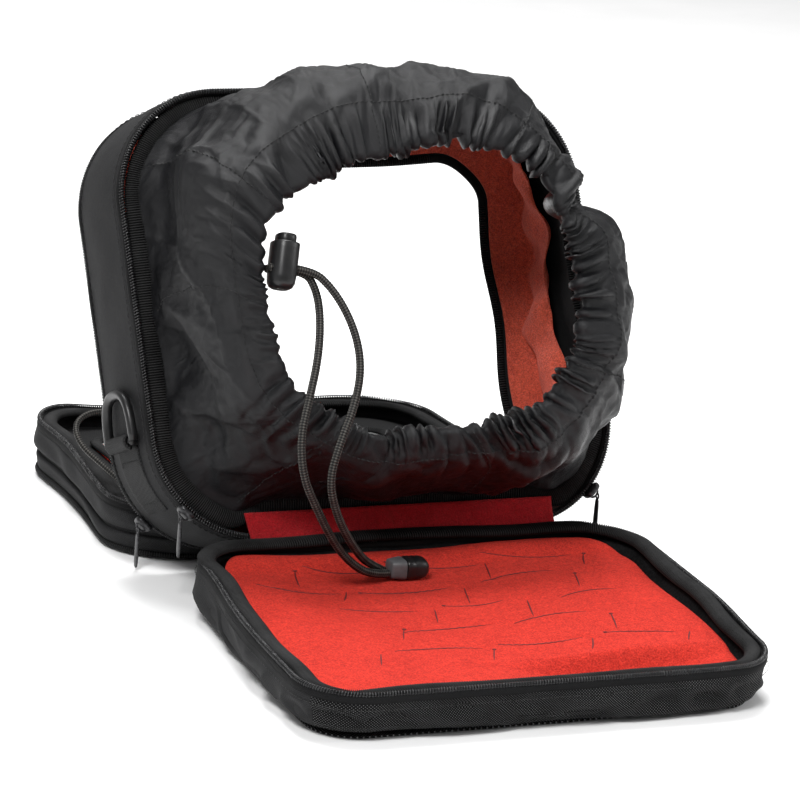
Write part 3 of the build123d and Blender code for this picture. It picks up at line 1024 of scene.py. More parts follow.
# ---- stitches ----
def stitches(name, lines, length=2.2, gap=1.0, radius=0.2, lift=0.1):
    """Short raised threads along lines of (point, normal) pairs in metres."""
    rows = []
    faces = []
    for line in lines:
        spots = [Vector(p) for p, _ in line]
        normals = [Vector(n) for _, n in line]
        gaps = [0.0]
        for a, b in zip(spots, spots[1:]):
            gaps.append(gaps[-1] + (b - a).length)
        at = 0.0
        while at + length * MM < gaps[-1]:
            ends = []
            for distance in (at, at + length * MM * 0.5, at + length * MM):
                k = int(np.searchsorted(gaps, distance)) - 1
                k = max(0, min(k, len(spots) - 2))
                share = (distance - gaps[k]) / max(gaps[k + 1] - gaps[k], 1e-9)
                ends.append((spots[k].lerp(spots[k + 1], share), normals[k]))
            along = (ends[2][0] - ends[0][0]).normalized()
            normal = ends[1][1]
            side = along.cross(normal).normalized()
            base = len(rows)
            for share, (spot, _) in zip((0.0, 0.5, 1.0), ends):
                rise = lift * MM + (radius * MM if share == 0.5 else -radius * MM * 0.6)
                thick = radius * MM
                for a, b in ((1, 0), (0, 1), (-1, 0), (0, -1)):
                    rows.append(spot + normal * (rise + b * thick) + side * (a * thick))
            for s in (0, 4):
                for k in range(4):
                    n = (k + 1) % 4
                    faces.append((base + s + k, base + s + n, base + s + 4 + n, base + s + 4 + k))
            faces.append((base, base + 1, base + 2, base + 3))
            faces.append((base + 8, base + 9, base + 10, base + 11))
            at += (length + gap) * MM
    mesh = bpy.data.meshes.new(name)
    mesh.from_pydata([tuple(r) for r in rows], [], faces)
    mesh.uv_layers.new(name="cloth")
    mesh.materials.append(THREAD)
    made = new_object(name, mesh)
    fix_normals(made)
    return made


def seam_line(outline, frame_of, inset, level):
    """A stitch line round a wall, for stitches(): places and outward directions."""
    points, normals, _ = outline.walk(700, closed=False)
    x = points[:, 0] - normals[:, 0] * inset
    y = points[:, 1] - normals[:, 1] * inset
    spots = frame_of(x, y, level + 0 * x)
    ends = frame_of(x + normals[:, 0], y + normals[:, 1], level + 0 * x)
    return list(zip(spots, (ends - spots) / MM))


# ---- band ----
WALL_START = -4.0
WALL_DEPTH = 48.0


def make_band():
    """The band's soft wall with its two zips, front binding and seams."""
    steps = 22
    profile = []
    for k in range(steps + 1):
        bulge = 1.3 * sin(pi * k / steps)
        edge = 1.0 if k in (0, steps) else 0.0
        profile.append((edge * 0.3 - bulge, WALL_START - WALL_DEPTH * k / steps))
    for k in range(steps, -1, -1):
        profile.append((2.0, WALL_START - WALL_DEPTH * k / steps))

    def soft(t, inset, out):
        depth = (WALL_START - out) / WALL_DEPTH
        middle = np.sin(pi * np.clip(depth, 0, 1))
        dent = ripple2(t, depth, 5, 2, 9, 0.8) * 1.1 + ripple2(t, depth, 6, 12, 26, 1.5) * 0.35
        return inset - dent * middle, out

    wall = ring("band_wall", band, on_band, profile, 420, NYLON, soft)
    put(wall, "case_body", "woven_nylon", "band_shell")
    tape_ring("band_front", band, on_band, "case_body", level=-1.0)
    tape_ring("band_rear", band, on_band, "case_body", level=-55.0, sign=-1)
    coil("band_front", band, on_band, "case_body", level=0.1)
    coil("band_rear", band, on_band, "case_body", level=-56.0)

    def roll(t, inset, out):
        """The binding rolls inwards at the upper left corner and along the lower side."""
        points = band.walk(len(t))[0]
        upper_left = band.share_near(-120, 190)
        lift = 0.5 * ripple(t, 11, 6, 22)
        inset = inset + 8.5 * lower_side(points[:, 0:1], points[:, 1:2])
        return inset + 1.2 * bump_at(t, upper_left, 0.05) + 0.5 * ripple(t, 12, 5, 14), out + lift

    ribbed(
        "band_front_ribbed", band, on_band, "case_body", "band_front_binding",
        centre=7.2, level=-2.2, width=9.0, height=3.4, warp=roll, tilt=radians(12),
    )
    seams = [seam_line(band, on_band, -0.55, out) for out in (-6.8, -49.5)]
    lines = stitches("band_seam_stitches", seams)
    put(lines, "case_body", "woven_nylon")


def make_rear_flange():
    """A thin flange inside the band's back edge, with its edge binding."""
    profile = [(3.2, -55.4), (10, -55.0), (18, -55.2), (25.5, -55.6), (25.5, -56.2), (18, -56.4),
               (10, -56.4), (3.2, -56.3)]

    def sag(t, inset, out):
        free = smooth(inset, 4, 25)
        return inset + free * 1.3 * ripple(t, 21, 3, 14), out + free * 1.2 * ripple(t, 22, 3, 11)

    # the flange's nylon is the darker copy: painted shade
    flange = ring("rear_flange_cloth", band, on_band, profile, 320, SHADED_NYLON, sag)
    put(flange, "case_body", "woven_nylon", "rear_flange")

    def follow(t, inset, out):
        return inset + 1.3 * ripple(t, 21, 3, 14), out + 1.2 * ripple(t, 22, 3, 11)

    ribbed(
        "rear_flange_ribbed", band, on_band, "case_body", "rear_flange_binding",
        centre=27.2, level=-55.8, width=4.2, height=2.4, warp=follow,
    )


def make_band_lining():
    """Loose red fleece: over the rear flange, up the band's inner wall, with soft folds
    and a wavy front edge."""
    rows = 44
    points, normals, shares = band.walk(560)
    t = shares[:, None]
    v = np.linspace(0, 1, rows)[None, :]
    rear_part = smooth(v, 0.0, 0.42)
    front_part = smooth(v, 0.30, 1.0)
    out = -54.2 + 2.6 * rear_part + front_part * (22.0 + 5.0 * ripple(t, 31, 4, 13))
    inset = 24.6 - 17.0 * rear_part + 1.3 * ripple(t, 21, 3, 14) * (1 - rear_part)
    inset = inset + 2.5 * np.sin(pi * front_part) + 2.0 * front_part
    folds = 5.6 * ripple2(t, v, 32, 4, 15, 1.2) + 1.6 * ripple2(t, v, 33, 18, 34, 2.0)
    free = smooth(v, 0.06, 0.35)
    inset = np.clip(inset + folds * free, 3.6, 26)
    out = out + 1.6 * ripple2(t, v, 34, 5, 14, 1.5) * free * (1 - front_part)
    out = np.clip(out, -54.4, -6)
    x, y = inset_xy(points, normals, inset)
    lining = grid("band_lining_fleece", on_band(x, y, out), True, False, material=RED_INSIDE)
    thicken(lining, 1.0)
    put(lining, "case_body", "fleece_red", "band_lining")


# ---- hood ----
HOOD_COLUMNS = 640
HOOD_ROWS = 46
HEM_ROWS = 16
HOOD_TOTAL = HOOD_ROWS + HEM_ROWS
RIM_OUT = 65.6  # the rim's distance in front of the band
HEM_ROLL = 3.2  # radius of the hem where it rolls over the drawcord
GATHERS = 52  # gathers, broad folds and loose pleats round the hood
BROAD_FOLDS = 21
LOOSE_PLEATS = 24
CREASE_DEPTH = 0.05  # of a crushed crease, as a share of its pitch
UPPER_DENT = (113, 158)  # where the cloth is pinched at the upper right


def skewed(phase, skew, sharp):
    """Crowns between sharp valleys, leaning to one side."""
    share = (phase % 1.0) ** skew
    return np.sin(pi * share) ** sharp


def unit(steps):
    """Directions of length one."""
    return steps / np.maximum(np.linalg.norm(steps, axis=-1, keepdims=True), 1e-9)


def steps_round(world):
    """From the column before to the column after, on a grid closed on itself."""
    return np.roll(world, -1, axis=0) - np.roll(world, 1, axis=0)


def hood_points():
    """The gathered hood as a grid: out of the binding, over its fullest line, to the
    rolled rim and back inside as the drawcord channel."""
    base, base_normal, shares = band.walk(HOOD_COLUMNS)
    full, full_normal, _ = hood_full.walk(HOOD_COLUMNS)
    rim, rim_normal, _ = hood_rim.walk(HOOD_COLUMNS)
    t = shares[:, None]

    # a pinched dent at the upper right and a flatter upper corner
    dent_at = hood_full.share_near(*UPPER_DENT)
    corner_at = hood_full.share_near(98, 190)
    dent = 24 * bump_at(shares, dent_at, 0.016) + 21 * bump_at(shares, corner_at, 0.06)
    full = full - full_normal * dent[:, None]
    full = full + full_normal * (2.0 * ripple(shares, 41, 3, 9))[:, None]
    rim_top = hood_rim.share_near(-40, 178)
    rim_wave = 1.8 * ripple(shares, 42, 4, 11) + 1.0 + 5 * bump_at(shares, rim_top, 0.09)
    rim = rim - rim_normal * rim_wave[:, None]
    base = base - base_normal * (9.2 + 8.0 * lower_side(base[:, 0:1], base[:, 1:2]))

    lead = base + (full - base) * 1.25
    reach = full + (full - rim) * 0.30
    finish = rim + rim_normal * 1.5
    v = np.linspace(0, 1, HOOD_ROWS)[None, :, None]
    spread = (
        base[:, None] * (1 - v) ** 3
        + lead[:, None] * 3 * v * (1 - v) ** 2
        + reach[:, None] * 3 * v**2 * (1 - v)
        + finish[:, None] * v**3
    )
    v = v[:, :, 0]
    out = -3.4 * (1 - v) ** 3 + 22 * 3 * v * (1 - v) ** 2 + 60 * 3 * v**2 * (1 - v) + RIM_OUT * v**3
    out = out + 0 * t

    # the hem rolls over the drawcord and turns back inside
    turn = np.linspace(0, 1, HEM_ROWS + 1)[1:][None, :]
    angle = np.clip(turn / 0.55, 0, 1) * pi
    back = np.clip((turn - 0.55) / 0.45, 0, 1)
    turned_in = HEM_ROLL * np.sin(angle) - 1.5 - 12.0 * back
    hem_out = RIM_OUT - HEM_ROLL * (1 - np.cos(angle)) - 2.0 * back
    hem = rim[:, None] - rim_normal[:, None] * turned_in[:, :, None]
    across = np.concatenate([spread, hem], axis=1)
    out = np.concatenate([out, hem_out + 0 * t], axis=1)
    world = on_band(across[:, :, 0], across[:, :, 1], out)
    return gathered(world, shares, base)


def gathered(world, shares, base):
    """Moves the smooth hood into gathers, sharp valleys between round crowns that are
    strongest at the drawcord, and slackens its body."""
    t = shares[:, None]
    row = np.arange(HOOD_TOTAL)[None, :]
    depth = row / HOOD_TOTAL
    near = smooth(row, HOOD_ROWS * 0.80, HOOD_ROWS - 2)
    near = near * (1 - 0.6 * smooth(row, HOOD_ROWS + 6, HOOD_TOTAL))
    pull = 2.4 * ripple(t, 51, 3, 9) + 0.8 * ripple(t, 59, 12, 25)
    phase = GATHERS * t + pull + 0.35 * ripple2(t, depth, 52, 3, 12, 2.0)
    crown = skewed(phase, 1.35, 0.7) - 0.6
    calm = 1 - 0.65 * bump_at(shares, hood_rim.share_near(-92, 100), 0.14)[:, None]
    calm = calm * (1 - 0.6 * bump_at(shares, hood_rim.share_near(76, 150), 0.03)[:, None])
    uneven = np.clip(0.8 + 0.55 * ripple(t, 55, 5, 17), 0.25, 1.7) * calm
    fine = skewed(phase * 2.0 + 0.3, 0.8, 0.8) - 0.6
    wide = BROAD_FOLDS * t + 1.3 * ripple(t, 53, 3, 7) + 0.5 * ripple2(t, depth, 54, 2, 7, 1.5)
    fold = skewed(wide, 1.5, 0.75) - 0.6
    fold_reach = smooth(row, HOOD_ROWS * 0.52, HOOD_ROWS * 0.88)
    fold_size = np.clip(0.7 + 0.7 * ripple(t, 60, 4, 11), 0.0, 1.6)
    gather = near * uneven * (4.6 * crown + 1.2 * fine) + fold_reach * 2.4 * fold * fold_size
    body = np.sin(pi * np.clip((row + 2) / HOOD_ROWS, 0, 1)) ** 0.8
    slack = 1.6 * ripple2(t, depth, 56, 2, 7, 1.0)
    crease = np.abs(ripple2(t, depth, 58, 2, 7, 1.6)) + 0.35 * np.abs(ripple2(t, depth, 61, 6, 13, 2.6))
    swell = body * (slack + 4.2 * (0.8 - crease))
    move = gather + swell
    normal = unit(np.cross(steps_round(world), np.gradient(world, axis=1)))
    outward = np.sign(normal[:, HOOD_ROWS // 2, 0] @ np.sign(base[:, 0]))
    world = world + outward * normal * move[:, :, None] * MM
    along = unit(steps_round(world))
    lay_over = near * uneven * 1.5 * np.sin(2 * pi * phase) + fold_reach * 1.2 * np.sin(2 * pi * wide)
    return world + along * lay_over[:, :, None] * MM


def settle_hood(hood, pinned):
    """Lets the cloth find its own small folds between its stitched edges."""
    group = hood.vertex_groups.new(name="stitched")
    for index, weight in pinned:
        group.add([index], weight, "REPLACE")
    cloth = hood.modifiers.new("cloth", "CLOTH")
    cloth.settings.quality = 6
    cloth.settings.mass = 0.12
    cloth.settings.tension_stiffness = 18
    cloth.settings.compression_stiffness = 18
    cloth.settings.shear_stiffness = 8
    cloth.settings.bending_stiffness = 0.6
    cloth.settings.vertex_group_mass = "stitched"
    cloth.settings.pin_stiffness = 1.0
    cloth.settings.shrink_min = -0.022
    cloth.settings.effector_weights.gravity = 0.0
    cloth.settings.air_damping = 3.0
    cloth.collision_settings.use_collision = False
    cloth.collision_settings.use_self_collision = False
    scene = bpy.context.scene
    for number in range(1, 19):
        scene.frame_set(number)
    apply_modifiers(hood)
    scene.frame_set(1)


def crumple(world, normals):
    """Presses crisp creases into the hood: flat facets that meet along straight lines."""
    rng = random.Random(63)
    row = np.arange(world.shape[1])[None, :]
    share = np.arange(world.shape[0])[:, None] / world.shape[0]
    free = smooth(row, 1, 9) * (1 - smooth(row, HOOD_ROWS - 18, HOOD_ROWS - 8))
    free = free * (1 - 0.8 * bump_at(share, hood_full.share_near(*UPPER_DENT), 0.05))
    depth = row / world.shape[1]
    height = np.zeros(world.shape[:2])
    for number in range(7):
        turn = rng.uniform(0, pi)
        pitch = rng.uniform(26, 60)
        tilt = rng.uniform(-0.5, 0.5)
        aim = np.array([cos(turn), tilt, sin(turn)])
        wander = 0.12 * ripple2(share, depth, 640 + number, 2, 5, 1.0)
        phase = (world @ aim) / (pitch * MM) + rng.random() + wander
        fold = 1 - np.abs(2 * (phase % 1.0) - 1)
        patch = smooth(ripple2(share, depth, 660 + number, 2, 8, 1.2), -0.1, 0.7)
        height += (fold - 0.6) * patch * pitch * CREASE_DEPTH
    # pleats that run out of the hem, crispest under the opening and at its right
    reach = smooth(row, HOOD_ROWS * 0.38, HOOD_ROWS * 0.8)
    reach = reach * (1 - smooth(row, HOOD_ROWS - 5, HOOD_ROWS + 1))
    low = bump_at(share, hood_rim.share_near(20, 40), 0.16)
    low = low + 0.6 * bump_at(share, hood_rim.share_near(78, 110), 0.1)
    drift = 1.5 * ripple(share, 681, 3, 8)
    phase = LOOSE_PLEATS * share + drift + 0.7 * ripple2(share, depth, 682, 2, 7, 1.3)
    pleat = skewed(phase, 1.6, 0.6) - 0.62
    size = np.clip(0.6 + 0.9 * ripple(share, 683, 4, 12), 0.1, 1.5) * (0.22 + 1.05 * low)
    left = bump_at(share, hood_full.share_near(-112, 90), 0.16)
    height = height * free * (1 + 1.1 * left + 0.7 * low) + 3.2 * pleat * size * reach
    return world + normals * height[:, :, None] * MM


def make_hood():
    """The hood's cloth: gathered, settled by the cloth solver, then creased."""
    hood = grid("hood_cloth", hood_points(), True, False, material=HOOD)
    pinned = []
    for i in range(HOOD_COLUMNS):
        for j in range(HOOD_TOTAL):
            held = j < 2 or j >= HOOD_ROWS - 2
            pinned.append((i * HOOD_TOTAL + j, 1.0 if held else 0.12))
    settle_hood(hood, pinned)
    shape = (HOOD_COLUMNS, HOOD_TOTAL, 3)
    settled = np.array([v.co for v in hood.data.vertices]).reshape(shape)
    normals = np.array([v.normal for v in hood.data.vertices]).reshape(shape)
    settled = crumple(settled, normals)
    hood.data.vertices.foreach_set("co", settled.astype(np.float32).reshape(-1))
    hood.data.update()
    thicken(hood, 0.5, inner=HOOD_INSIDE)
    hood_move(hood)
    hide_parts("hood_shell", "hood_hem", "hood_drawcord")
    hood_seams(settled, normals)


def hood_move(piece):
    """Bakes a hood piece's place into its mesh."""
    point(on_band, 0, 107, -2.6)
    point(on_band, 0, 107, 62.0)
    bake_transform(piece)


def hood_seams(settled, normals):
    """The drawcord channel's stitch line and the panel seams."""
    lines = []
    channel_row = HOOD_ROWS - 8
    closed = list(range(HOOD_COLUMNS)) + [0]
    outward = np.sign(np.einsum("ij,j->i", normals[:, channel_row], np.array([0, -1, 0.4])).mean())
    lines.append([(settled[i, channel_row], outward * normals[i, channel_row]) for i in closed])
    seam_at = [(-120, 118), (-112, 186), (-22, 216), (70, 216), (120, 58), (30, 14), (-80, 16)]
    for x, y in seam_at:
        share = hood_full.share_near(x, y)
        column = int(share * HOOD_COLUMNS)
        drift = 6 if x < 0 else -5
        line = []
        for j in range(3, HOOD_ROWS + 1):
            i = (column + int(drift * j / HOOD_ROWS)) % HOOD_COLUMNS
            line.append((settled[i, j], outward * normals[i, j]))
        lines.append(line)
    made = stitches("hood_seam_stitches", lines, length=1.9, gap=0.7, radius=0.27, lift=0.32)
    hood_move(made)


# ---- hinge strips ----
def make_hinge_strips():
    """The red strip under the opening and the plain one behind the band."""
    columns, rows = 90, 12
    x = np.linspace(-STRIP_WIDTH / 2, STRIP_WIDTH / 2, columns)[:, None]
    v = np.linspace(0, 1, rows)[None, :]
    start = on_front(x, 1.0 + 0 * v, 1.2 + 0 * v)
    end = on_band(x, 12.5 + 0 * v, 1.4 + 0 * v)
    line = start * (1 - v[:, :, None]) + end * v[:, :, None]
    bow = -np.sin(pi * v) * (0.5 + 0.4 * np.sin(x / 11.0) + 0.3 * np.sin(x / 4.3 + 1.0))
    out = point(on_band, 0, 0, 1) - point(on_band, 0, 0, 0)
    line = line + bow[:, :, None] * np.array(out)
    # the strip's fleece is darkened as painted shade
    strip = grid("front_hinge_fleece", line, False, False, material=RED_STRIP_SHADED)
    thicken(strip, 0.9)
    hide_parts("front_hinge_strip")
    point(on_band, 0, 10, 0)
    point(on_front, 0, 0, 0)
    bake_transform(strip)

    low = place(x, 52.8 + 0 * v, 12.0 + 0 * v)
    high = place(x, REAR_START + 0.4 + 0 * v, 17.0 + 0 * v)
    line = low * (1 - v[:, :, None]) + high * v[:, :, None]
    line[:, :, 2] -= (np.sin(pi * v) * 5.0 * MM) + 0 * x
    rear_strip = grid("rear_hinge_cloth", line, False, False, material=NYLON)
    thicken(rear_strip, 0.9)
    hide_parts("rear_hinge_strip")
    Vector(place(0.0, 53.5, 12.0))
    Vector(place(0.0, 61.5, 16.0))
    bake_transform(rear_strip)


# ---- front cover ----
def make_front_wall():
    """The front cover's soft, pleated wall and its flat outer face."""
    count = 420
    wall_steps = 12
    points, normals, shares = front.walk(count)
    t = shares[:, None]
    base = -(FRONT_RIM - points[:, 1:2] * sin(RIM_SLOPE)) + 0.4

    outer = [(16.0, 0.0), (9.0, 0.0), (4.0, 0.02), (1.6, 0.06), (0.6, 0.14)]
    for k in range(wall_steps):
        outer.append((0.0, 0.2 + 0.8 * k / (wall_steps - 1)))
    inner = [(2.0, 1.0), (2.2, 0.6), (2.2, 0.35), (4.0, 0.22), (16.0, 0.2)]
    inset = np.array([p[0] for p in outer + inner])[None, :]
    share = np.array([p[1] for p in outer + inner])[None, :]
    is_outer = (np.arange(inset.shape[1]) < len(outer))[None, :]
    top = -3.6
    level = base + (top - base) * share
    mid = np.sin(pi * np.clip(share, 0, 1)) * is_outer
    pleats = np.abs(ripple2(t, share, 60, 8, 22, 1.4))
    bulge = mid * (1.6 + 2.4 * ripple2(t, share, 61, 3, 11, 1.0) - 3.4 * pleats)
    foot = (1 - smooth(share, 0.0, 0.85)) * is_outer
    tuck = 2.8 + 1.4 * ripple(t, 68, 3, 9)
    left_rear = bump_at(t, front.share_near(110, 40), 0.10)
    right_front = bump_at(t, front.share_near(-128, 190), 0.07)
    tuck = tuck + 4.0 * left_rear + 2.5 * right_front
    inset = inset - bulge + foot * tuck
    level = level + mid * 0.5 * ripple2(t, share, 63, 5, 18, 1.0)
    lifted = np.clip(0.5 + 1.5 * ripple(t, 69, 4, 10), 0, 2.5) + 2.0 * right_front + 1.2 * left_rear
    level = level + (1 - smooth(share, 0.0, 0.5)) * lifted * is_outer
    x, y = inset_xy(points, normals, inset)
    shell = grid("front_cover_wall", on_front(x, y, level), True, True, material=NYLON)
    shell.data.materials.append(BALLISTIC)
    first = front.share_near(122, 178)
    last = front.share_near(-118, 180)
    columns = inset.shape[1]
    for face in shell.data.polygons:
        row = min(face.vertices) // columns
        if first < row / count < last:
            face.material_index = 1
    base_plate = cover_floor("front_cover_floor", front, on_front, BALLISTIC)
    shell = join("front_cover_wall", [shell, base_plate])
    put(shell, "front_cover", "ballistic_nylon", "front_cover_shell")


def make_front_cover():
    """The front cover's wall, zip, binding, napped inner wall and stitches."""
    make_front_wall()
    tape_ring("front_cover", front, on_front, "front_cover", level=-1.0)
    coil("front_cover", front, on_front, "front_cover", level=-0.1)

    hinge_middle = front.share_near(0, 0)

    def flop(t, inset, level):
        wave = 1.1 * ripple(t, 64, 5, 16)
        raised = bump_at(t, hinge_middle, 0.13) ** 0.5
        return inset + wave - 5.0 * raised, level + 0.5 * ripple(t, 65, 5, 15) + 4.2 * raised

    ribbed(
        "front_cover_ribbed", front, on_front, "front_cover", "front_cover_binding",
        centre=7.4, level=-2.0, width=8.6, height=3.8, warp=flop, tilt=radians(-8),
    )

    # napped inner wall between the binding and the pad
    profile = [(3.4, -3.4), (5.5, -4.4), (8.0, -7.0), (10.0, -10.0), (13.0, -13.0), (18.0, -15.0),
               (18.0, -16.5), (8.0, -15.0), (3.2, -8.0)]

    def nap(t, inset, level):
        return inset + 0.8 * ripple2(t, level / 10, 66, 5, 19, 1.0), level + 0.7 * ripple(t, 67, 6, 20)

    inner_wall = ring("front_cover_inner_wall", front, on_front, profile, 360, PILE, nap)
    put(inner_wall, "front_cover", "ballistic_nylon")

    seam = seam_line(front, on_front, -0.9, -6.6)
    made = stitches("front_cover_stitches", [seam])
    put(made, "front_cover", "ballistic_nylon")


def cover_floor(name, outline, frame_of, material):
    """A cover's outer face, just inside its walls' turned-in edge."""
    points, normals, _ = outline.walk(180)
    centre = points.mean(axis=0)
    edge = points - normals * FLOOR_INSET - centre
    flat = np.stack([centre + edge * share for share in np.linspace(1, 0, 24)], axis=1)
    y = flat[:, :, 1]
    if frame_of is on_front:
        low = -(FRONT_RIM - y * sin(RIM_SLOPE)) + 0.5
    else:
        low = 0.5 + 0 * y
    low = low + 0.8 * ripple2(flat[:, :, 0] / 240, y / 200, 99, 1, 3, 2.0) ** 2
    made = grid(name, frame_of(flat[:, :, 0], y, low), True, False, material=material)
    close_middle(made)
    thicken(made, 0.8)
    return made


PAD_MIDDLE = (-5.5, 97.0)


def make_front_pad():
    """The fleece pad: nearly full to the binding at the hinge, lower at the front, and
    pulled in along its quilting creases."""
    columns, rows = 300, 96
    points, normals, shares = front.walk(columns)
    centre = np.array(PAD_MIDDLE)
    t = shares[:, None]
    hinge_side = 1 - smooth(points[:, 1], 5, 60)
    far_side = smooth(points[:, 1], 150, 195)
    right_side = smooth(points[:, 0], 70, 108)
    at_hinge = 1 - smooth(points[:, 1], 3, 28)
    edge_inset = 10.5 + 1.0 * right_side - 1.5 * hinge_side - 4.0 * at_hinge + 0.9 * ripple(shares, 81, 3, 9)
    for x, y, cut in ((-112, 10, 7.0), (112, 10, 5.0)):
        edge_inset = edge_inset + cut * bump_at(shares, front.share_near(x, y), 0.03)
    edge = points - normals * edge_inset[:, None]
    radial = np.concatenate([np.linspace(0.0, 0.90, rows - 18), np.linspace(0.91, 1.0, 18)])[None, :, None]
    flat = centre + (edge[:, None] - centre) * radial
    x, y = flat[:, :, 0], flat[:, :, 1]
    r = radial[:, :, 0] + 0 * t
    edge_top = (-9.0 + 4.5 * hinge_side + 1.5 * right_side + 1.5 * at_hinge - 0.5 * far_side)[:, None]
    edge_top = edge_top + 0.8 * ripple(t, 83, 5, 15)
    middle = -7.9 + 4.0 * (1 - smooth(y, 8, 27)) + 2.2 * smooth(np.abs(x + 20), 20, 75) - 1.0 * (y / 198) ** 2
    middle = middle + 0.7 * ripple2(t, r * 0.3, 82, 2, 5, 1.0) * smooth(r, 0.2, 0.8)
    sunk = 9.5 * np.exp(-(((x - 42) / 50) ** 4)) * smooth(y, 146, 157)
    middle = middle - sunk
    top = middle + (np.minimum(edge_top, middle - 1.0) - middle) * r**16
    for a, b, depth in PAD_CREASES:
        top = top - crease_depth(x, y, a, b, depth)
    under = np.full_like(top[:, :1], -18.0)
    x = np.concatenate([x, x[:, -1:]], axis=1)
    y = np.concatenate([y, y[:, -1:]], axis=1)
    top = np.concatenate([top, under], axis=1)
    pad = grid("front_cover_pad_fleece", on_front(x, y, top), True, False, material=RED)

    def close_pad(work):
        """Merges the middle and closes the underside."""
        bmesh.ops.remove_doubles(work, verts=work.verts, dist=0.00002)
        rim = [e for e in work.edges if e.is_boundary]
        bmesh.ops.contextual_create(work, geom=rim)
        bmesh.ops.recalc_face_normals(work, faces=work.faces)

    edit_mesh(pad, close_pad)
    shade_smooth(pad.data)
    put(pad, "front_cover", "fleece_red", "front_cover_pad", "front_cover_foam")
    make_crease_threads()


def quilting():
    """Short quilting creases laid like loose brickwork: two ends and a depth each."""
    rng = random.Random(85)
    lines = []
    for k, away in enumerate((20, 46, 73, 100, 128, 157)):
        for j in range(-1, 5):
            x = -96 + 52 * j + 26 * (k % 2) + rng.uniform(-6, 6)
            level = away + rng.uniform(-4, 4)
            if -96 < x - 19 and x + 19 < 88 and rng.random() < 0.85:
                half = rng.uniform(15, 24)
                slope = rng.uniform(-3, 7)
                left, right = (x - half, level - slope), (x + half, level + slope)
                lines.append((left, right, rng.uniform(0.35, 0.6)))
            x = x + 24 + rng.uniform(-3, 3)
            if -92 < x < 88 and away < 150 and rng.random() < 0.8:
                top = level + rng.uniform(13, 23)
                lines.append(((x + 3, level + 3), (x - 3, top), rng.uniform(0.5, 0.8)))
    return lines


PAD_CREASES = quilting()


def crease_curve(a, b, share):
    """A crease is a shallow arc between its two ends."""
    dx, dy = b[0] - a[0], b[1] - a[1]
    bow = 0.10 * sin(a[0] * 0.7 + b[1]) * min(1.0, abs(dx) / 25)
    lift = 4 * share * (1 - share) * bow
    return a[0] + dx * share - dy * lift, a[1] + dy * share + dx * lift


def crease_depth(x, y, a, b, depth):
    """How far a crease pulls the pad down at each place."""
    total = np.zeros_like(x)
    for k in range(13):
        px, py = crease_curve(a, b, k / 12)
        gap = (x - px) ** 2 + (y - py) ** 2
        total = np.maximum(total, np.exp(-gap / (2.2**2)))
    return depth * total


def pad_height(x, y):
    """Level of the pad's top at a place, from rays onto the finished pad."""
    pad = bpy.data.objects["front_cover_pad_fleece"]
    above = point(on_front, x, y, 25)
    below = point(on_front, x, y, -25)
    inverse = pad.matrix_world.inverted()
    start = inverse @ above
    hit, spot, normal, _ = pad.ray_cast(start, (inverse @ below - start).normalized())
    return (spot, normal) if hit else (None, None)


def make_crease_threads():
    """Thread lines sunk in the creases, with a knot at some ends; the thread is real, and its dark colour
    also paints shade in the creases.
    """
    bpy.context.view_layer.update()
    made = []
    for number, (a, b, depth) in enumerate(PAD_CREASES):
        line = []
        for k in range(25):
            spot, normal = pad_height(*crease_curve(a, b, k / 24))
            if spot:
                line.append(spot + normal * (0.02 * MM))
        if len(line) > 3:
            taper = len(line) - 1
            made.append(tube(
                f"thread{number}", line, 0.2 + 0.3 * depth, CREASE_SHADE_THREAD, 6,
                lambda i, angle, taper=taper: 0.25 + 0.75 * sin(pi * min(1, (i + 1) / taper)) ** 0.5,
            ))
            if number % 3 == 0:
                knot = [
                    line[0] + Vector((0.9 * MM * cos(k), 0.7 * MM * sin(k), 0.1 * MM)) for k in range(7)
                ]
                made.append(tube(f"knot{number}", knot, 0.22, CREASE_SHADE_THREAD, 6))
    threads = join("front_cover_pad_threads", made)
    put(threads, "front_cover", "fleece_red")


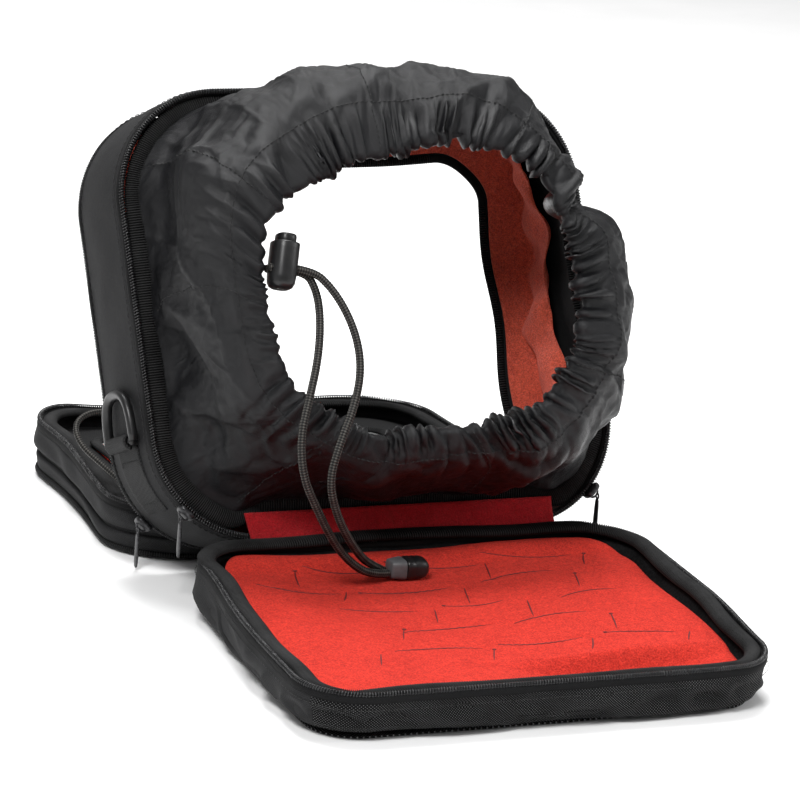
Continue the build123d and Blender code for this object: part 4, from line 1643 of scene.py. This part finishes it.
# ---- rear cover ----
def make_rear_cover():
    """The rear cover: two soft layers with a groove between, piping, zip and binding."""
    count = 360
    points, normals, shares = rear.walk(count)
    t = shares[:, None]
    profile = [(16, 0.4), (8, 0.4), (5.0, 0.6), (3.2, 1.5), (2.4, 3.0), (1.6, 4.6), (1.1, 6.2),
               (0.6, 7.8), (0.2, 9.0), (0.5, 10.0), (2.2, 10.5), (4.5, 10.7), (6.5, 10.9), (6.5, 11.7),
               (4.5, 12.0), (2.2, 12.2), (0.5, 12.7), (-0.4, 13.8)]
    for k in range(7):
        profile.append((-0.6 + 0.1 * k, 14.8 + 7.2 * k / 6))
    profile += [(2.0, 22.0), (2.2, 12.0), (2.4, 5.0), (5, 3.0), (16, 2.6)]
    inset = np.array([p[0] for p in profile])[None, :] + 0 * t
    level = np.array([p[1] for p in profile])[None, :] + 0 * t
    on_outside = (np.arange(inset.shape[1]) < 25)[None, :]
    upper = np.sin(pi * np.clip((level - 12) / 10, 0, 1)) * on_outside
    lower = np.sin(pi * np.clip((level - 1) / 9.5, 0, 1)) * on_outside
    inset = inset - upper * (0.6 + 1.3 * ripple2(t, level / 22, 91, 3, 10, 1.0))
    inset = inset - upper * 0.6 * ripple2(t, level / 22, 92, 12, 28, 2)
    inset = inset - lower * (0.2 + 1.3 * ripple2(t, level / 22, 93, 3, 12, 1.0))
    between = smooth(level, 4, 9) * (1 - smooth(level, 14, 20))
    level = level + on_outside * 0.7 * ripple(t, 98, 4, 13) * between
    x, y = inset_xy(points, normals, inset)
    shell = grid("rear_cover_wall", on_rear(x, y, level), True, True, material=NYLON)
    plate = cover_floor("rear_cover_floor", rear, on_rear, NYLON)
    shell = join("rear_cover_wall", [shell, plate])
    put(shell, "rear_cover", "woven_nylon", "rear_cover_shell", "rear_cover_foam")
    piping = oval(centre=1.7, level=2.4, width=2.7, height=2.7)

    def sewn(t, inset, level):
        """Keeps the piping against the wall's lower ripple."""
        follow = 0.45 * (0.2 + 1.3 * ripple2(t, 0.11 + 0 * level, 93, 3, 12, 1.0))
        return inset - follow, level

    edge = ring("rear_cover_piping_cord", rear, on_rear, piping, 420, BINDING, sewn)
    put(edge, "rear_cover", "binding_black", "rear_cover_piping")
    tape_ring("rear_cover", rear, on_rear, "rear_cover", level=25.0)
    coil("rear_cover", rear, on_rear, "rear_cover", level=25.4)

    def flop(t, inset, level):
        return inset + 0.8 * ripple(t, 94, 5, 15), level + 0.4 * ripple(t, 95, 5, 15)

    ribbed(
        "rear_cover_ribbed", rear, on_rear, "rear_cover", "rear_cover_binding",
        centre=7.2, level=23.6, width=8.2, height=3.2, warp=flop,
    )
    make_rear_pocket()


def make_rear_pocket():
    """A pocket sheet with a bound clear window, over the red lining."""
    window = Outline(width=168, length=110, corner=12, start=40)
    points, normals, shares = rear.walk(240)
    inner, inner_normals, _ = window.walk(240)
    v = np.linspace(0, 1, 22)[None, :, None]
    outer = points - normals * 6.0
    across = outer[:, None] * (1 - v) + (inner + inner_normals)[:, None] * v
    t = shares[:, None]
    lift = 15.6 + 1.6 * np.sin(pi * v[:, :, 0]) * (0.6 + 0.8 * ripple2(t, v[:, :, 0], 96, 3, 12, 1.0))
    # the pocket's nylon is the darker copy: painted shade
    pocket = grid("rear_pocket_cloth", on_rear(across[:, :, 0], across[:, :, 1], lift), True, False,
                  material=SHADED_NYLON)
    thicken(pocket, 0.9)
    put(pocket, "rear_cover", "woven_nylon", "rear_pocket")

    columns, rows = 60, 40
    x = np.linspace(-81, 81, columns)[:, None] + np.zeros((1, rows))
    y = np.linspace(43, 147, rows)[None, :] + np.zeros((columns, 1))
    wave = 0.7 * np.sin(x / 13.0 + y / 21.0) + 0.5 * np.sin(x / 6.1 - y / 9.0) + 0.5 * np.sin(y / 5.0)
    glass = grid("rear_window_vinyl", on_rear(x, y, 17.4 + wave), False, False, material=VINYL)
    thicken(glass, 0.4)
    put(glass, "rear_cover", "clear_vinyl", "rear_window")
    ribbed(
        "rear_window_ribbed", window, on_rear, "rear_cover", "rear_window_binding",
        centre=1.0, level=18.0, width=7.6, height=2.2,
    )
    make_rear_lining()


def make_rear_lining():
    """The red lining inside the rear cover."""
    inset, level = 4.2, 12.4
    points, normals, shares = rear.walk(160)
    centre = points.mean(axis=0)
    radial = np.linspace(1, 0, 20)[None, :, None]
    flat = centre + ((points - normals * inset)[:, None] - centre) * radial
    lift = level + 0.5 * ripple2(shares[:, None], radial[:, :, 0], 97, 3, 9, 1.0)
    world = on_rear(flat[:, :, 0], flat[:, :, 1], lift)
    lining = grid("rear_cover_lining_fleece", world, True, False, material=RED)
    close_middle(lining)
    thicken(lining, 1.2)
    put(lining, "rear_cover", "fleece_red", "rear_cover_lining")


# ---- D-rings, tabs, sliders and pulls ----
def make_d_ring(side, word):
    """A moulded D-ring in its webbing tab, with the tab's box of stitches."""
    bar_out, ring_wire, bar_wire = 4.2, 2.5, 2.1
    stand = side * (BAND_WIDTH / 2 + bar_out) + SIDE_LEAN * RING_HEIGHT
    base = point(on_band, stand, RING_HEIGHT, MID_DEPTH)
    out = direction(on_band, 0, 0, 1)
    up = direction(on_band, SIDE_LEAN, 1, 0)
    half, drop = 15.7, 23.0
    line = []
    for k in range(61):
        angle = pi * (k / 60)
        reach = half * (abs(cos(angle)) ** 0.75) * (1 if angle < pi / 2 else -1)
        rise = drop * (sin(angle) ** 0.62)
        line.append(base + out * (reach * MM) + up * (rise * MM))
    bow = tube("bow", line, ring_wire, PLASTIC, 14, flat=0.9)
    bar_line = [base + out * (half * MM * k / 10) for k in range(-10, 11)]
    bar = tube("bar", bar_line, bar_wire, PLASTIC, 14)
    ring_made = join("d_ring_" + word + "_moulding", [bow, bar])
    put(ring_made, "d_ring_" + word, "moulded_black", "d_ring_" + word)

    # webbing: up the wall, over the bar and back down behind
    rows = []
    loop = []
    for k in range(12):
        loop.append((1.2, 18 + 29.0 * k / 11))
    for k in range(17):
        angle = pi + 1.75 * pi * k / 16 - 0.25 * pi
        loop.append((bar_out + 3.2 * cos(angle), RING_HEIGHT - 3.2 * sin(angle)))
    for offset, height in loop:
        edge_row = []
        for wide in MID_DEPTH + np.linspace(-WEBBING_WIDTH / 2, WEBBING_WIDTH / 2, 15):
            spot, normal = band_wall_at(side, height)
            across = spot[0] + normal[0] * offset
            height_there = spot[1] + normal[1] * offset * 0.3
            edge_row.append(list(point(on_band, across, height_there, wide)))
        rows.append(edge_row)
    tab = grid("web_tab_" + word + "_webbing", np.array(rows), False, False, material=WEBBING)
    thicken(tab, 1.3)
    put(tab, "case_body", "webbing_black", "web_tab_" + word)
    box_line = []
    for height, wide in ((22, -38), (22, -18), (42, -18), (42, -38), (22, -38)):
        spot, normal = band_wall_at(side, height)
        outward = point(on_band, spot[0] + normal[0], spot[1] + normal[1], 0) - point(on_band, *spot, 0)
        where = point(on_band, spot[0] + normal[0] * 2.0, spot[1] + normal[1] * 0.6, wide)
        box_line.append((where, outward.normalized()))
    dense = []
    for (a, n), (b, _) in zip(box_line, box_line[1:]):
        dense += [(a.lerp(b, k / 8), n) for k in range(8)]
    made = stitches("web_tab_" + word + "_stitches", [dense], length=1.8, gap=0.8, radius=0.25)
    put(made, "case_body", "webbing_black")


def band_wall_at(side, height):
    """Where the band's outer wall is at a height, and its outward direction."""
    best = None
    points, normals, _ = band.walk(1440)
    for spot, normal in zip(points, normals):
        if spot[0] * side > 30:
            gap = abs(spot[1] - height)
            if best is None or gap < best[0]:
                best = (gap, spot, normal)
    return best[1], best[2]


def make_slider(side, word):
    """A domed slider body with its bridge, and a slim pull hanging from it."""
    node = "zip_slider_" + word
    low, high = box(node)
    middle = (low + high) / 2
    pull_low, pull_high = box("zip_pull_" + word)
    pull_middle = (pull_low + pull_high) / 2
    pivot = Vector((pull_middle.x, pull_middle.y, pull_high.z - 1.6 * MM))
    turn = radians(225 if side < 0 else 315)
    outward = direction(on_band, cos(turn), sin(turn), 0)
    along = direction(on_band, -sin(turn), cos(turn), 0)
    across = outward.cross(along)
    shape = [
        (-1.5, 3.2, 4.1), (-1.2, 3.9, 4.5), (0.0, 4.0, 4.5),
        (0.9, 3.7, 4.1), (1.4, 2.8, 3.2), (1.55, 1.6, 2.0),
    ]
    stations = [(middle + outward * (h * MM), across, along, a, b, 3.0) for h, a, b in shape]
    body = rounded_block("slider_body", stations, METAL, 32)
    bridge_line = [
        middle + along * (2.6 * c * MM) + outward * ((1.2 + 1.9 * s) * MM) for c, s in circle(13, 0.5)
    ]
    bridge = tube("bridge", bridge_line, 0.55, METAL, 8)
    made = join("zip_slider_" + word + "_body", [body, bridge])
    put(made, "case_body", "slider_metal", node)

    down = Vector((0, 0, -1))
    sideways = Vector((0, 1, 0))
    forward = Vector((1, 0, 0))
    eye = [
        pivot + sideways * (1.25 * c * MM) + down * (-0.1 * MM + 1.3 * s * MM) for c, s in circle(25)
    ]
    loop = tube("eye", eye, 0.45, METAL, 8, caps=False)
    blade = rounded_block("blade", [
        (pivot + down * (d * MM), sideways, forward, a, b, 2.6)
        for d, a, b in ((1.2, 0.7, 0.45), (2.2, 1.4, 0.6), (5.0, 1.7, 0.65), (12.0, 2.0, 0.65),
                        (15.5, 1.9, 0.65), (17.6, 1.3, 0.6), (18.4, 0.6, 0.4))
    ], METAL, 24)
    pull = join("zip_pull_" + word + "_tab", [loop, blade])
    put(pull, "zip_pull_" + word, "slider_metal", "zip_pull_" + word)


make_camera()
make_stage()
make_cords()
make_cord_lock()
make_band()
make_rear_flange()
make_band_lining()
make_hood()
make_hinge_strips()
make_front_cover()
make_front_pad()
make_rear_cover()
for side, word in ((-1, "left"), (1, "right")):
    make_d_ring(side, word)
    make_slider(side, "front_" + word)
    make_slider(side, "rear_" + word)
